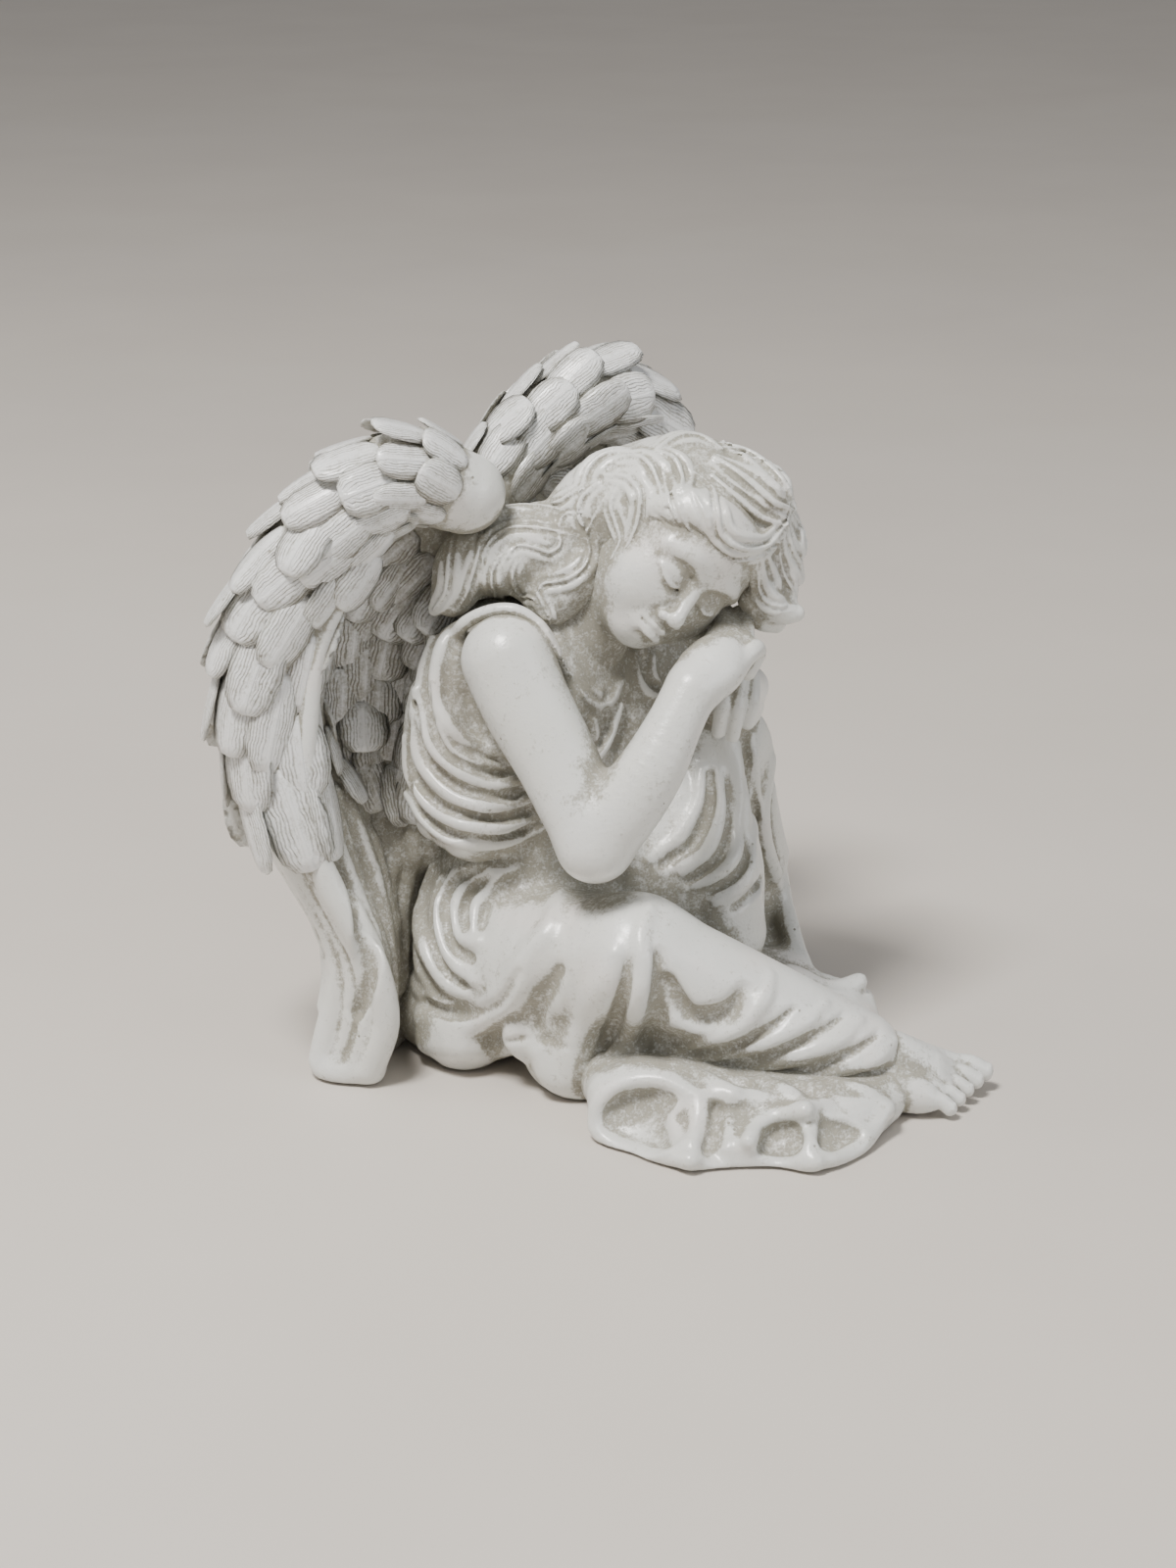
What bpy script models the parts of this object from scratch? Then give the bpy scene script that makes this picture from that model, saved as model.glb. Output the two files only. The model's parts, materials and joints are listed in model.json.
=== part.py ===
"""Seated angel figurine: seven resin castings, bonded along their seams and keyed by steel dowels.

Metres, +Z up. The origin is on the flat underside, in the middle of the footprint. -Y is the front,
from which the face, the bent arm and the ruffled hem are seen, and "right" and "left" are the angel's own.
"""

import math

import bmesh
import bpy
from mathutils import Matrix, Vector

MM = 0.001

# Overall sizes. The masses below are drawn for these three, and stretch with them.
HEIGHT = 129 * MM
WIDTH = 145 * MM
DEPTH = 111 * MM
DRAWN_HEIGHT = 129 * MM
DRAWN_WIDTH = 145 * MM
DRAWN_DEPTH = 111 * MM

# Seams and dowels.
SEAM_GAP = 0.6 * MM
DOWEL_RADIUS = 1.25 * MM
DOWEL_FIT = 0.3 * MM
WING_DOWEL_LENGTH = 13 * MM
NECK_DOWEL_LENGTH = 16 * MM
ARM_DOWEL_LENGTH = 10 * MM
HAND_DOWEL_LENGTH = 8 * MM
FOOT_DOWEL_LENGTH = 12 * MM
DOWEL_SIDES = 16

# Limbs and wings, as radii.
WING_WEB = 3.4 * MM
WING_ROLL = 8.6 * MM
WING_ROLL_END = 6.9 * MM
SHOULDER_RADIUS = 8.9 * MM
UPPER_ARM_RADIUS = 7.9 * MM
ELBOW_RADIUS = 7.4 * MM
FOREARM_RADIUS = 6.9 * MM
WRIST_RADIUS = 5.2 * MM
FINGERS_RADIUS = 3.6 * MM
KNEE_RADIUS = 11.5 * MM
SHIN_RADIUS = 10.5 * MM
ANKLE_RADIUS = 8.4 * MM

# Fusing the masses of one casting into one skin.
BALL_RINGS = 8
BALL_SIDES = 14
VOXEL = 1.6 * MM
SKIN_SMOOTHING = 3
SKIN_SOFTNESS = 0.5
SEAT_SHARE = 0.12
TABLE_SPAN = 4 * max(WIDTH, DEPTH)

STRETCH = (WIDTH / DRAWN_WIDTH, DEPTH / DRAWN_DEPTH, HEIGHT / DRAWN_HEIGHT)
ROUND = (STRETCH[0] * STRETCH[1] * STRETCH[2]) ** (1 / 3)


def clear_scene():
    for obj in list(bpy.data.objects):
        bpy.data.objects.remove(obj)


def at(x, y, z):
    """A place on the drawing, in drawn millimetres, as a point on the object."""
    return Vector((x * STRETCH[0], y * STRETCH[1], z * STRETCH[2])) * MM


def ball(x, y, z, radius):
    """A place and a radius, both in drawn millimetres."""
    return at(x, y, z), radius * MM * ROUND


def tube(x, y, z, radius):
    """A place in drawn millimetres and a radius that keeps its own size."""
    return at(x, y, z), radius


def sphere_points(centre, radius):
    """Points spread over a sphere: two poles and rings between them."""
    points = [centre + Vector((0, 0, radius)), centre - Vector((0, 0, radius))]
    for ring in range(1, BALL_RINGS):
        tilt = math.pi * ring / BALL_RINGS
        for i in range(BALL_SIDES):
            turn = math.tau * i / BALL_SIDES
            out = math.sin(tilt) * Vector((math.cos(turn), math.sin(turn), 0))
            points.append(centre + radius * (out + Vector((0, 0, math.cos(tilt)))))
    return points


def hull_of(bm, balls, grow):
    """Adds the convex hull of some balls, each swollen by grow."""
    made = [
        bm.verts.new(point)
        for centre, radius in balls
        for point in sphere_points(centre, radius + grow)
    ]
    hull = bmesh.ops.convex_hull(bm, input=made)
    inside = {v for v in hull["geom_interior"] if isinstance(v, bmesh.types.BMVert)}
    bmesh.ops.delete(bm, geom=list(inside), context="VERTS")


def limb(bm, balls, grow):
    """A chain of balls joined two by two."""
    for pair in zip(balls, balls[1:]):
        hull_of(bm, pair, grow)


def web(bm, edge, root, grow):
    """A plate between two chains of as many balls."""
    for i in range(len(edge) - 1):
        hull_of(bm, [edge[i], edge[i + 1], root[i], root[i + 1]], grow)


def resin():
    material = bpy.data.materials.new("cream_resin")
    material.use_nodes = True
    shader = material.node_tree.nodes["Principled BSDF"]
    shader.inputs["Base Color"].default_value = (0.72, 0.70, 0.63, 1)
    shader.inputs["Roughness"].default_value = 0.5
    return material


def steel():
    material = bpy.data.materials.new("dowel_steel")
    material.use_nodes = True
    shader = material.node_tree.nodes["Principled BSDF"]
    shader.inputs["Base Color"].default_value = (0.55, 0.55, 0.56, 1)
    shader.inputs["Roughness"].default_value = 0.35
    shader.inputs["Metallic"].default_value = 1.0
    return material


def mesh_object(name, bm, material=None):
    bmesh.ops.recalc_face_normals(bm, faces=bm.faces)
    mesh = bpy.data.meshes.new(name)
    bm.to_mesh(mesh)
    bm.free()
    obj = bpy.data.objects.new(name, mesh)
    bpy.context.scene.collection.objects.link(obj)
    if material:
        mesh.materials.append(material)
    return obj


def fuse(obj):
    """Melts the masses into one closed skin."""
    remesh = obj.modifiers.new("fuse", "REMESH")
    remesh.mode = "VOXEL"
    remesh.voxel_size = VOXEL
    remesh.use_smooth_shade = True
    smooth = obj.modifiers.new("soften", "SMOOTH")
    smooth.factor = SKIN_SOFTNESS
    smooth.iterations = SKIN_SMOOTHING
    return obj


def casting(name, masses, share, material):
    """One casting, fused from its masses. Share is the part of the skin's faces that is kept."""
    bm = bmesh.new()
    masses(bm, 0)
    obj = fuse(mesh_object(name, bm, material))
    thin = obj.modifiers.new("thin", "DECIMATE")
    thin.ratio = share
    return obj


def seat_of(name, masses):
    """The room that a casting needs in its neighbours: the same masses, swollen by the seam's gap."""
    bm = bmesh.new()
    masses(bm, SEAM_GAP)
    cutter = fuse(mesh_object(name + "_seat", bm))
    thin = cutter.modifiers.new("thin", "DECIMATE")
    thin.ratio = SEAT_SHARE
    return hidden(cutter)


def hidden(cutter):
    cutter.hide_render = True
    cutter.display_type = "WIRE"
    return cutter


def cut(obj, *cutters):
    for cutter in cutters:
        boolean = obj.modifiers.new("cut_" + cutter.name, "BOOLEAN")
        boolean.operation = "DIFFERENCE"
        boolean.object = cutter


def table_top():
    """What the flat underside is ground off against."""
    bm = bmesh.new()
    below = Matrix.Translation((0, 0, -TABLE_SPAN / 2))
    bmesh.ops.create_cube(bm, size=TABLE_SPAN, matrix=below)
    return hidden(mesh_object("table_top", bm))


def rod(name, middle, along, length, radius, material=None):
    bm = bmesh.new()
    turn = Vector(along).to_track_quat("Z", "Y").to_matrix().to_4x4()
    bmesh.ops.create_cone(
        bm,
        cap_ends=True,
        segments=DOWEL_SIDES,
        radius1=radius,
        radius2=radius,
        depth=length,
        matrix=Matrix.Translation(middle) @ turn,
    )
    return mesh_object(name, bm, material)


def dowel(name, middle, along, length, material, *castings):
    """A dowel across a seam, and its hole in the castings on both sides."""
    rod(name, middle, along, length, DOWEL_RADIUS, material)
    hole = hidden(
        rod(name + "_hole", middle, along, length + 2 * DOWEL_FIT, DOWEL_RADIUS + DOWEL_FIT)
    )
    for obj in castings:
        cut(obj, hole)


# The right wing: a thick rolled leading edge that rises from the back, turns over and runs down to the
# table, and a hollowed web of feathers between it and the back.


def right_wing(bm, grow):
    edge = [
        tube(-23, -1, 112, WING_ROLL_END),
        tube(-34, -5, 116, WING_ROLL),
        tube(-46, -8, 108, WING_ROLL),
        tube(-56, -10, 94, WING_ROLL),
        tube(-60, -11, 76, WING_ROLL),
        tube(-57, -12, 58, WING_ROLL),
        tube(-51, -14, 42, WING_ROLL_END),
        tube(-46, -15, 24, WING_ROLL_END),
        tube(-46, -17, 5, WING_ROLL_END),
    ]
    hollow = [
        tube(-25, 8, 108, WING_WEB),
        tube(-34, 8, 108, WING_WEB),
        tube(-45, 6, 100, WING_WEB),
        tube(-52, 6, 88, WING_WEB),
        tube(-54, 5, 72, WING_WEB),
        tube(-52, 4, 56, WING_WEB),
        tube(-46, 2, 40, WING_WEB),
        tube(-42, -1, 22, WING_WEB),
        tube(-41, -3, 2, WING_WEB),
    ]
    root = [
        tube(-20, 12, 100, WING_WEB),
        tube(-24, 13, 92, WING_WEB),
        tube(-28, 13, 84, WING_WEB),
        tube(-31, 13, 76, WING_WEB),
        tube(-33, 12, 66, WING_WEB),
        tube(-34, 11, 52, WING_WEB),
        tube(-35, 9, 38, WING_WEB),
        tube(-36, 7, 22, WING_WEB),
        tube(-36, 5, 2, WING_WEB),
    ]
    limb(bm, edge, grow)
    web(bm, edge, hollow, grow)
    web(bm, hollow, root, grow)
    # The pad by which the wing is bonded to the back.
    limb(bm, [ball(-27, 12, 86, 6), ball(-28, 11, 66, 7), ball(-31, 9, 40, 7)], grow)


def left_wing(bm, grow):
    edge = [
        tube(-23, 18, 103, WING_ROLL_END),
        tube(-14, 25, 114, WING_ROLL_END),
        tube(-3, 32, 121, WING_ROLL),
        tube(5, 39, 118, WING_ROLL),
        tube(9, 44, 104, WING_ROLL),
        tube(11, 47, 80, WING_ROLL),
        tube(11, 47, 60, WING_ROLL),
        tube(9, 46, 38, WING_ROLL_END),
        tube(6, 45, 20, WING_ROLL_END),
        tube(4, 44, 5, WING_ROLL_END),
    ]
    hollow = [
        tube(-18, 26, 100, WING_WEB),
        tube(-13, 33, 107, WING_WEB),
        tube(-6, 39, 109, WING_WEB),
        tube(-2, 44, 102, WING_WEB),
        tube(-1, 48, 88, WING_WEB),
        tube(-2, 48, 72, WING_WEB),
        tube(-3, 47, 56, WING_WEB),
        tube(-5, 44, 38, WING_WEB),
        tube(-6, 42, 20, WING_WEB),
        tube(-6, 40, 2, WING_WEB),
    ]
    root = [
        tube(-20, 22, 90, WING_WEB),
        tube(-20, 25, 86, WING_WEB),
        tube(-19, 27, 80, WING_WEB),
        tube(-18, 28, 74, WING_WEB),
        tube(-18, 29, 66, WING_WEB),
        tube(-18, 29, 56, WING_WEB),
        tube(-18, 29, 46, WING_WEB),
        tube(-18, 29, 32, WING_WEB),
        tube(-18, 28, 18, WING_WEB),
        tube(-18, 27, 2, WING_WEB),
    ]
    limb(bm, edge, grow)
    web(bm, edge, hollow, grow)
    web(bm, hollow, root, grow)
    limb(bm, [ball(-17, 23, 84, 5), ball(-16, 24, 66, 7), ball(-17, 25, 40, 7)], grow)


def right_arm(bm, grow):
    limb(
        bm,
        [
            tube(-15, -11, 82, SHOULDER_RADIUS),
            tube(-6, -19, 66, UPPER_ARM_RADIUS),
            tube(1.5, -27, 52, ELBOW_RADIUS),
            tube(12, -25, 65, FOREARM_RADIUS),
            tube(21, -19, 79, WRIST_RADIUS),
            tube(26, -13, 85, WRIST_RADIUS),
            tube(30, -8, 89, FINGERS_RADIUS),
        ],
        grow,
    )


def left_hand(bm, grow):
    limb(bm, [ball(31, 2, 73, 4.5), ball(30, -5, 70, 4), ball(29, -7, 64, 3)], grow)
    limb(bm, [ball(26, -3, 71, 3.5), ball(26, -7, 65, 3)], grow)


def right_foot(bm, grow):
    limb(bm, [ball(56, -28, 7.5, 5.5), ball(66, -28, 5.5, 6)], grow)
    limb(bm, [ball(66, -25, 5.5, 5), ball(74, -23, 4, 3.4)], grow)
    limb(bm, [ball(65, -33, 4.5, 4.5), ball(70, -35, 3.2, 3)], grow)
    hull_of(bm, [ball(74, -23, 4, 3.2), ball(70, -35, 3.2, 3), ball(64, -28, 5, 5)], grow)


def head(bm, grow):
    skull = [ball(16, 1, 100, 15.5), ball(22, 3, 104, 17)]
    limb(bm, skull, grow)
    limb(bm, [ball(14, -4, 95, 11.5), ball(10, -9, 89, 5.5)], grow)
    limb(bm, [ball(7, 2, 94, 9), ball(-1, 4, 84, 8)], grow)
    # Hair: the crown, the side swept over the temple, and the locks down the near shoulder.
    limb(bm, [ball(29, 3, 106, 12), ball(36, 1, 98, 5.5), ball(37, -1, 90, 3.5)], grow)
    locks = [
        ball(6, 6, 108, 11),
        ball(-8, 4, 101, 9),
        ball(-18, 2, 97, 8.5),
        ball(-25, 0, 90, 5.5),
    ]
    limb(bm, locks, grow)
    limb(bm, [ball(12, 12, 100, 13), ball(0, 14, 92, 10), ball(-10, 14, 86, 8)], grow)


def body(bm, grow):
    torso = [ball(-18, 6, 22, 18), ball(-14, 5, 46, 15), ball(-11, 6, 64, 17), ball(-8, 6, 76, 14)]
    limb(bm, torso, grow)
    # Shoulders, and the left arm under its sleeve out to the raised knee.
    hull_of(bm, [ball(-15, -6, 82, 8), ball(3, 15, 81, 9), ball(-10, 6, 68, 14)], grow)
    limb(bm, [ball(3, 15, 81, 9), ball(19, 20, 70, 8), ball(27, 10, 67, 7)], grow)
    hull_of(bm, [ball(-6, 8, 64, 12), ball(10, 11, 60, 9), ball(19, 15, 64, 7)], grow)
    # Sleeve drape behind the near arm.
    limb(bm, [ball(-24, -5, 76, 5), ball(-25, -6, 62, 6), ball(-20, -10, 48, 7)], grow)
    # Near thigh and shin, lying to the side.
    knee = tube(9, -26, 30, KNEE_RADIUS)
    limb(bm, [ball(-18, -1, 20, 17), knee], grow)
    limb(bm, [knee, tube(32, -27, 19, SHIN_RADIUS), tube(51, -27, 10, ANKLE_RADIUS)], grow)
    # Far thigh and shin, drawn up.
    limb(bm, [ball(-8, 14, 26, 16), ball(25, 13, 60, 9)], grow)
    limb(bm, [ball(25, 13, 60, 9), ball(28, 22, 34, 9.5), ball(32, 32, 8, 10)], grow)
    hull_of(bm, [ball(24, 11, 56, 8), ball(26, 2, 24, 10), ball(0, 4, 34, 14)], grow)
    # Cloth on the table: seat, lap, far side and hem.
    hull_of(bm, [ball(-34, 4, 6, 7), ball(-24, -9, 6, 8), ball(-14, 10, 10, 14)], grow)
    hull_of(bm, [ball(0, -20, 8, 12), ball(40, -26, 6, 9), ball(34, 20, 6, 10)], grow)
    hull_of(bm, [ball(41, 46, 3, 4), ball(34, 30, 6, 8), ball(28, 20, 16, 8)], grow)
    hull_of(bm, [ball(40.5, 42, 10, 2.5), ball(41, 46, 3, 4), ball(33, 22, 36, 3)], grow)
    hull_of(bm, [ball(54, 9, 4, 4), ball(46, -14, 6, 8), ball(38, 10, 5, 6)], grow)
    # The flat that the figure sits on.
    hull_of(bm, [ball(-28, 2, 3, 6), ball(-8, 14, 4, 10), ball(0, -26, 3, 8)], grow)
    hull_of(bm, [ball(-8, 14, 4, 10), ball(0, -26, 3, 8), ball(40, -30, 3, 8), ball(32, 26, 3, 8)], grow)
    ruffle = [
        ball(8, -43, 5, 6.5),
        ball(21, -49.5, 5, 6.5),
        ball(38, -50, 5, 6),
        ball(50, -43, 4.5, 5.5),
    ]
    limb(bm, ruffle, grow)
    hull_of(bm, [*ruffle, ball(20, -30, 7, 10)], grow)


def build():
    clear_scene()
    cream = resin()
    metal = steel()
    masses = {
        "right_arm": right_arm,
        "right_wing": right_wing,
        "left_wing": left_wing,
        "head": head,
        "left_hand": left_hand,
        "right_foot": right_foot,
        "body": body,
    }
    shares = {
        "right_arm": 0.2,
        "right_wing": 0.085,
        "left_wing": 0.08,
        "head": 0.16,
        "left_hand": 0.4,
        "right_foot": 0.3,
        "body": 0.09,
    }
    # Each casting gives way to the seats of those that touch it and are named in its row.
    gives_way_to = {
        "right_arm": (),
        "right_wing": (),
        "left_wing": ("right_wing",),
        "head": ("right_arm", "right_wing", "left_wing"),
        "left_hand": ("right_arm", "head"),
        "right_foot": (),
        "body": ("right_arm", "right_wing", "left_wing", "head", "left_hand", "right_foot"),
    }
    floor = table_top()
    castings = {
        name: casting(name + "_casting", shape, shares[name], cream)
        for name, shape in masses.items()
    }
    wanted = {other for others in gives_way_to.values() for other in others}
    seats = {name: seat_of(name, masses[name]) for name in masses if name in wanted}
    for name, others in gives_way_to.items():
        cut(castings[name], *(seats[other] for other in others))
    for name in ("right_wing", "left_wing", "right_foot", "body"):
        cut(castings[name], floor)

    dowel("neck_dowel", at(-1.5, 4, 74), (0.25, 0, 1), NECK_DOWEL_LENGTH, metal,
          castings["head"], castings["body"])
    dowel("right_arm_dowel", at(-12.5, -6.5, 77), (-0.4, -1, 0.3), ARM_DOWEL_LENGTH, metal,
          castings["right_arm"], castings["body"])
    dowel("left_hand_dowel", at(29.5, 5, 67), (0, -0.6, 1), HAND_DOWEL_LENGTH, metal,
          castings["left_hand"], castings["body"])
    dowel("right_foot_dowel", at(50, -27, 8), (1, 0, 0), FOOT_DOWEL_LENGTH, metal,
          castings["right_foot"], castings["body"])
    dowel("right_wing_upper_dowel", at(-22, 8, 68), (1, -0.4, 0), WING_DOWEL_LENGTH, metal,
          castings["right_wing"], castings["body"])
    dowel("right_wing_lower_dowel", at(-25, 6, 40), (1, -0.4, 0), WING_DOWEL_LENGTH, metal,
          castings["right_wing"], castings["body"])
    dowel("left_wing_upper_dowel", at(-14, 18, 66), (0.2, -1, 0), WING_DOWEL_LENGTH, metal,
          castings["left_wing"], castings["body"])
    dowel("left_wing_lower_dowel", at(-16, 18, 40), (0.2, -1, 0), WING_DOWEL_LENGTH, metal,
          castings["left_wing"], castings["body"])


build()
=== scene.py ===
"""The looks of a seated angel figurine: carved cream resin castings with an antique wash.

Shapes are worked in millimetres and written to their meshes in metres. Right and left are the angel's own.
"""

import json
import math

import bpy
import numpy as np
from mathutils import Matrix, Vector

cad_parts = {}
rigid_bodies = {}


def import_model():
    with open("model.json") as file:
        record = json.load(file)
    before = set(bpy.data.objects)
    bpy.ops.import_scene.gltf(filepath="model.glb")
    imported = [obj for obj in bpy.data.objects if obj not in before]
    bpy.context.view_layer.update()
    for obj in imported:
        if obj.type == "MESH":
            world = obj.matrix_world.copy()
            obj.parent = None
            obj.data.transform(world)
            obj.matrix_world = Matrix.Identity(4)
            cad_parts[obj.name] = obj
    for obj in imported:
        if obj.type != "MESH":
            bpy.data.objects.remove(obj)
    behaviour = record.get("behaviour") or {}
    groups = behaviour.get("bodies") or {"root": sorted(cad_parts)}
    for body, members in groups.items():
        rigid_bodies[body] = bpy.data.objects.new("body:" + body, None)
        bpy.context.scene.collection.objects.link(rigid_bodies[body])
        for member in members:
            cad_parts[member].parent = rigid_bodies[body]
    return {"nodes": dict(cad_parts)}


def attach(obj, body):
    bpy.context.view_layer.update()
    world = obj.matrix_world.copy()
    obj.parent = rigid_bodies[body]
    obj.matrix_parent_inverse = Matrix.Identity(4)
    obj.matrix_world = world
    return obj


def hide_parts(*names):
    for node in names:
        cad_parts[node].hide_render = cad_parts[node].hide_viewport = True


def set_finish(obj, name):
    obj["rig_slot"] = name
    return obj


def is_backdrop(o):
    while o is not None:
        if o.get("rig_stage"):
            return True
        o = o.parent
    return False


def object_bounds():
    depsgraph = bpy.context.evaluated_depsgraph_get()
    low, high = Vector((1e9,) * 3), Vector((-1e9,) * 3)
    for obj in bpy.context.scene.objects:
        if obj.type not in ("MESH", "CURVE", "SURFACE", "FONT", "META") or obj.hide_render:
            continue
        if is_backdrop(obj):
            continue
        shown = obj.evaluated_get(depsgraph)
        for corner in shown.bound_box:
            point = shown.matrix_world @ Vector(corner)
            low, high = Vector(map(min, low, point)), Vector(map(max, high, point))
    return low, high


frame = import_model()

cad_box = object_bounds()

# ---------------------------------------------------------------------------------------------------
# Table, light and camera.
# The figurine stands on a plain pale table, under a wide soft lamp and two weaker ones.
# The camera looks down at it a little from the front.

MM = 0.001
EYE_DISTANCE = 555
EYE_HEIGHT = 255
LOOK_DOWN = math.radians(19.9)
LENS = 70.3

camera_data = bpy.data.cameras.new("front_camera")
camera_data.lens = LENS
camera_data.clip_start = 0.01
camera = bpy.data.objects.new("front_camera", camera_data)
camera.location = (0, -EYE_DISTANCE * MM, EYE_HEIGHT * MM)
camera.rotation_euler = (math.radians(90) - LOOK_DOWN, 0, 0)
bpy.context.scene.collection.objects.link(camera)
bpy.context.scene.camera = camera


LAMP_AIM = Vector((0, 0, 0.06))


def softbox(name, place, size, power, tint):
    """A square lamp that faces the figurine's middle."""
    data = bpy.data.lights.new(name, "AREA")
    data.size = size
    data.energy = power
    data.color = tint
    lamp = bpy.data.objects.new(name, data)
    lamp.location = place
    lamp.rotation_euler = (LAMP_AIM - Vector(place)).to_track_quat("-Z", "Y").to_euler()
    bpy.context.scene.collection.objects.link(lamp)


softbox("ceiling_lamp", (-0.30, -0.38, 1.05), 0.26, 19.0, (1.0, 0.97, 0.93))
softbox("window_side", (0.95, -0.55, 0.55), 0.7, 4.0, (0.93, 0.96, 1.0))
softbox("room_side", (-0.95, 0.2, 0.6), 0.8, 3.5, (1.0, 0.95, 0.88))

world = bpy.data.worlds.new("room")
world.use_nodes = True
world.node_tree.nodes["Background"].inputs["Color"].default_value = (0.86, 0.85, 0.84, 1)
world.node_tree.nodes["Background"].inputs["Strength"].default_value = 0.38
bpy.context.scene.world = world


class Socket:
    """A node's output, so that shader maths can be written as plain expressions."""

    def __init__(self, tree, socket):
        self.tree = tree
        self.socket = socket

    def math(self, operation, *values):
        return shade(self.tree, "ShaderNodeMath", {"operation": operation}, *values)

    def __add__(self, other):
        return self.math("ADD", self, other)

    def __sub__(self, other):
        return self.math("SUBTRACT", self, other)

    def __rsub__(self, other):
        return self.math("SUBTRACT", other, self)

    def __mul__(self, other):
        return self.math("MULTIPLY", self, other)

    def __truediv__(self, other):
        return self.math("DIVIDE", self, other)

    def __pow__(self, other):
        return self.math("POWER", self, other)

    __radd__ = __add__
    __rmul__ = __mul__

    def clamp(self, low=0.0, high=1.0):
        return self.math("MINIMUM", self.math("MAXIMUM", self, low), high)


def plug(tree, entry, value):
    """Links or sets one socket."""
    if isinstance(value, Socket):
        tree.links.new(value.socket, entry)
    else:
        entry.default_value = value


def shade(tree, kind, settings, *values, out=0, **named):
    """Adds a node: its settings first, then the values or links of its sockets. Gives back one output."""
    node = tree.nodes.new(kind)
    for key, value in settings.items():
        setattr(node, key, value)
    for entry, value in zip(node.inputs, values):
        plug(tree, entry, value)
    for key, value in named.items():
        plug(tree, node.inputs[key.replace("_", " ")], value)
    return Socket(tree, node.outputs[out])


def mix(tree, share, first, second):
    """First where share is 0, second where it is 1, for colours."""
    node = tree.nodes.new("ShaderNodeMix")
    node.data_type = "RGBA"
    for key, value in ((0, share), (6, first), (7, second)):
        plug(tree, node.inputs[key], value)
    return Socket(tree, node.outputs[2])


def noise(tree, place, scale, detail=3.0, rough=0.6):
    """Soft grey blotches, of so many to the metre."""
    return shade(tree, "ShaderNodeTexNoise", {}, Vector=place, Scale=scale, Detail=detail, Roughness=rough)


def new_material(name):
    """An empty Principled material: its tree, its shader and where the surface point is."""
    material = bpy.data.materials.get(name) or bpy.data.materials.new(name)
    material.use_nodes = True
    tree = material.node_tree
    place = shade(tree, "ShaderNodeTexCoord", {}, out=3)
    return material, tree, tree.nodes["Principled BSDF"], place


TABLE_SPAN = 9.0
TABLE_DROP = 0.0004
bpy.ops.mesh.primitive_plane_add(size=TABLE_SPAN, location=(0, 0, 0))
table = bpy.context.object
table.name = "pale_table"
table.data.transform(Matrix.Translation((0, 0, -TABLE_DROP)))
table_paint, tree, shader, place = new_material("pale_table")
blotch = noise(tree, place, 9.0)
plug(tree, shader.inputs["Base Color"], mix(tree, blotch, (0.56, 0.516, 0.47, 1), (0.63, 0.59, 0.54, 1)))
shader.inputs["Roughness"].default_value = 0.55
table.data.materials.append(table_paint)
table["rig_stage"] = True

# ---------------------------------------------------------------------------------------------------
# The skirt, the lower half of the body casting.
# The master was modelled in clay: thighs and shins under thin cloth, folds laid on as rolls and pressed in.
# It is cast in cream resin, solid, and its underside is ground flat.

FAR = 9.0
MARGIN = 3.0
SLOPE_STEP = 0.8
SEARCH = 85
SKIRT_GRAIN = 0.6


def smooth_curve(points, steps):
    """A curve through the points, with so many steps between two of them."""
    points = np.array(points, float)
    ends = np.vstack([2 * points[0] - points[1], points, 2 * points[-1] - points[-2]])
    curve = []
    for before, start, stop, after in zip(ends, ends[1:], ends[2:], ends[3:]):
        for t in np.arange(steps) / steps:
            bend = 2 * before - 5 * start + 4 * stop - after
            twist = -before + 3 * start - 3 * stop + after
            curve.append(start + ((stop - before) * t + bend * t**2 + twist * t**3) / 2)
    curve.append(points[-1])
    return np.array(curve)


def soft_min(a, b, blend):
    """The smaller of two distances, with a fillet."""
    if blend <= 0:
        return np.minimum(a, b)
    near = np.maximum(blend - np.abs(a - b), 0) / blend
    return np.minimum(a, b) - near * near * blend / 4


def read_grid(grid, spot):
    """The values between a grid's cells, at places given in steps of the grid."""
    spot = np.clip(spot, 0, np.array(grid.shape) - 1.001)
    base = spot.astype(int)
    share = spot - base
    total = 0
    for corner in np.ndindex(2, 2, 2):
        weight = np.prod(np.where(corner, share, 1 - share), axis=-1)
        total = total + weight * grid[tuple((base + corner)[..., k] for k in range(3))]
    return total


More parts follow.
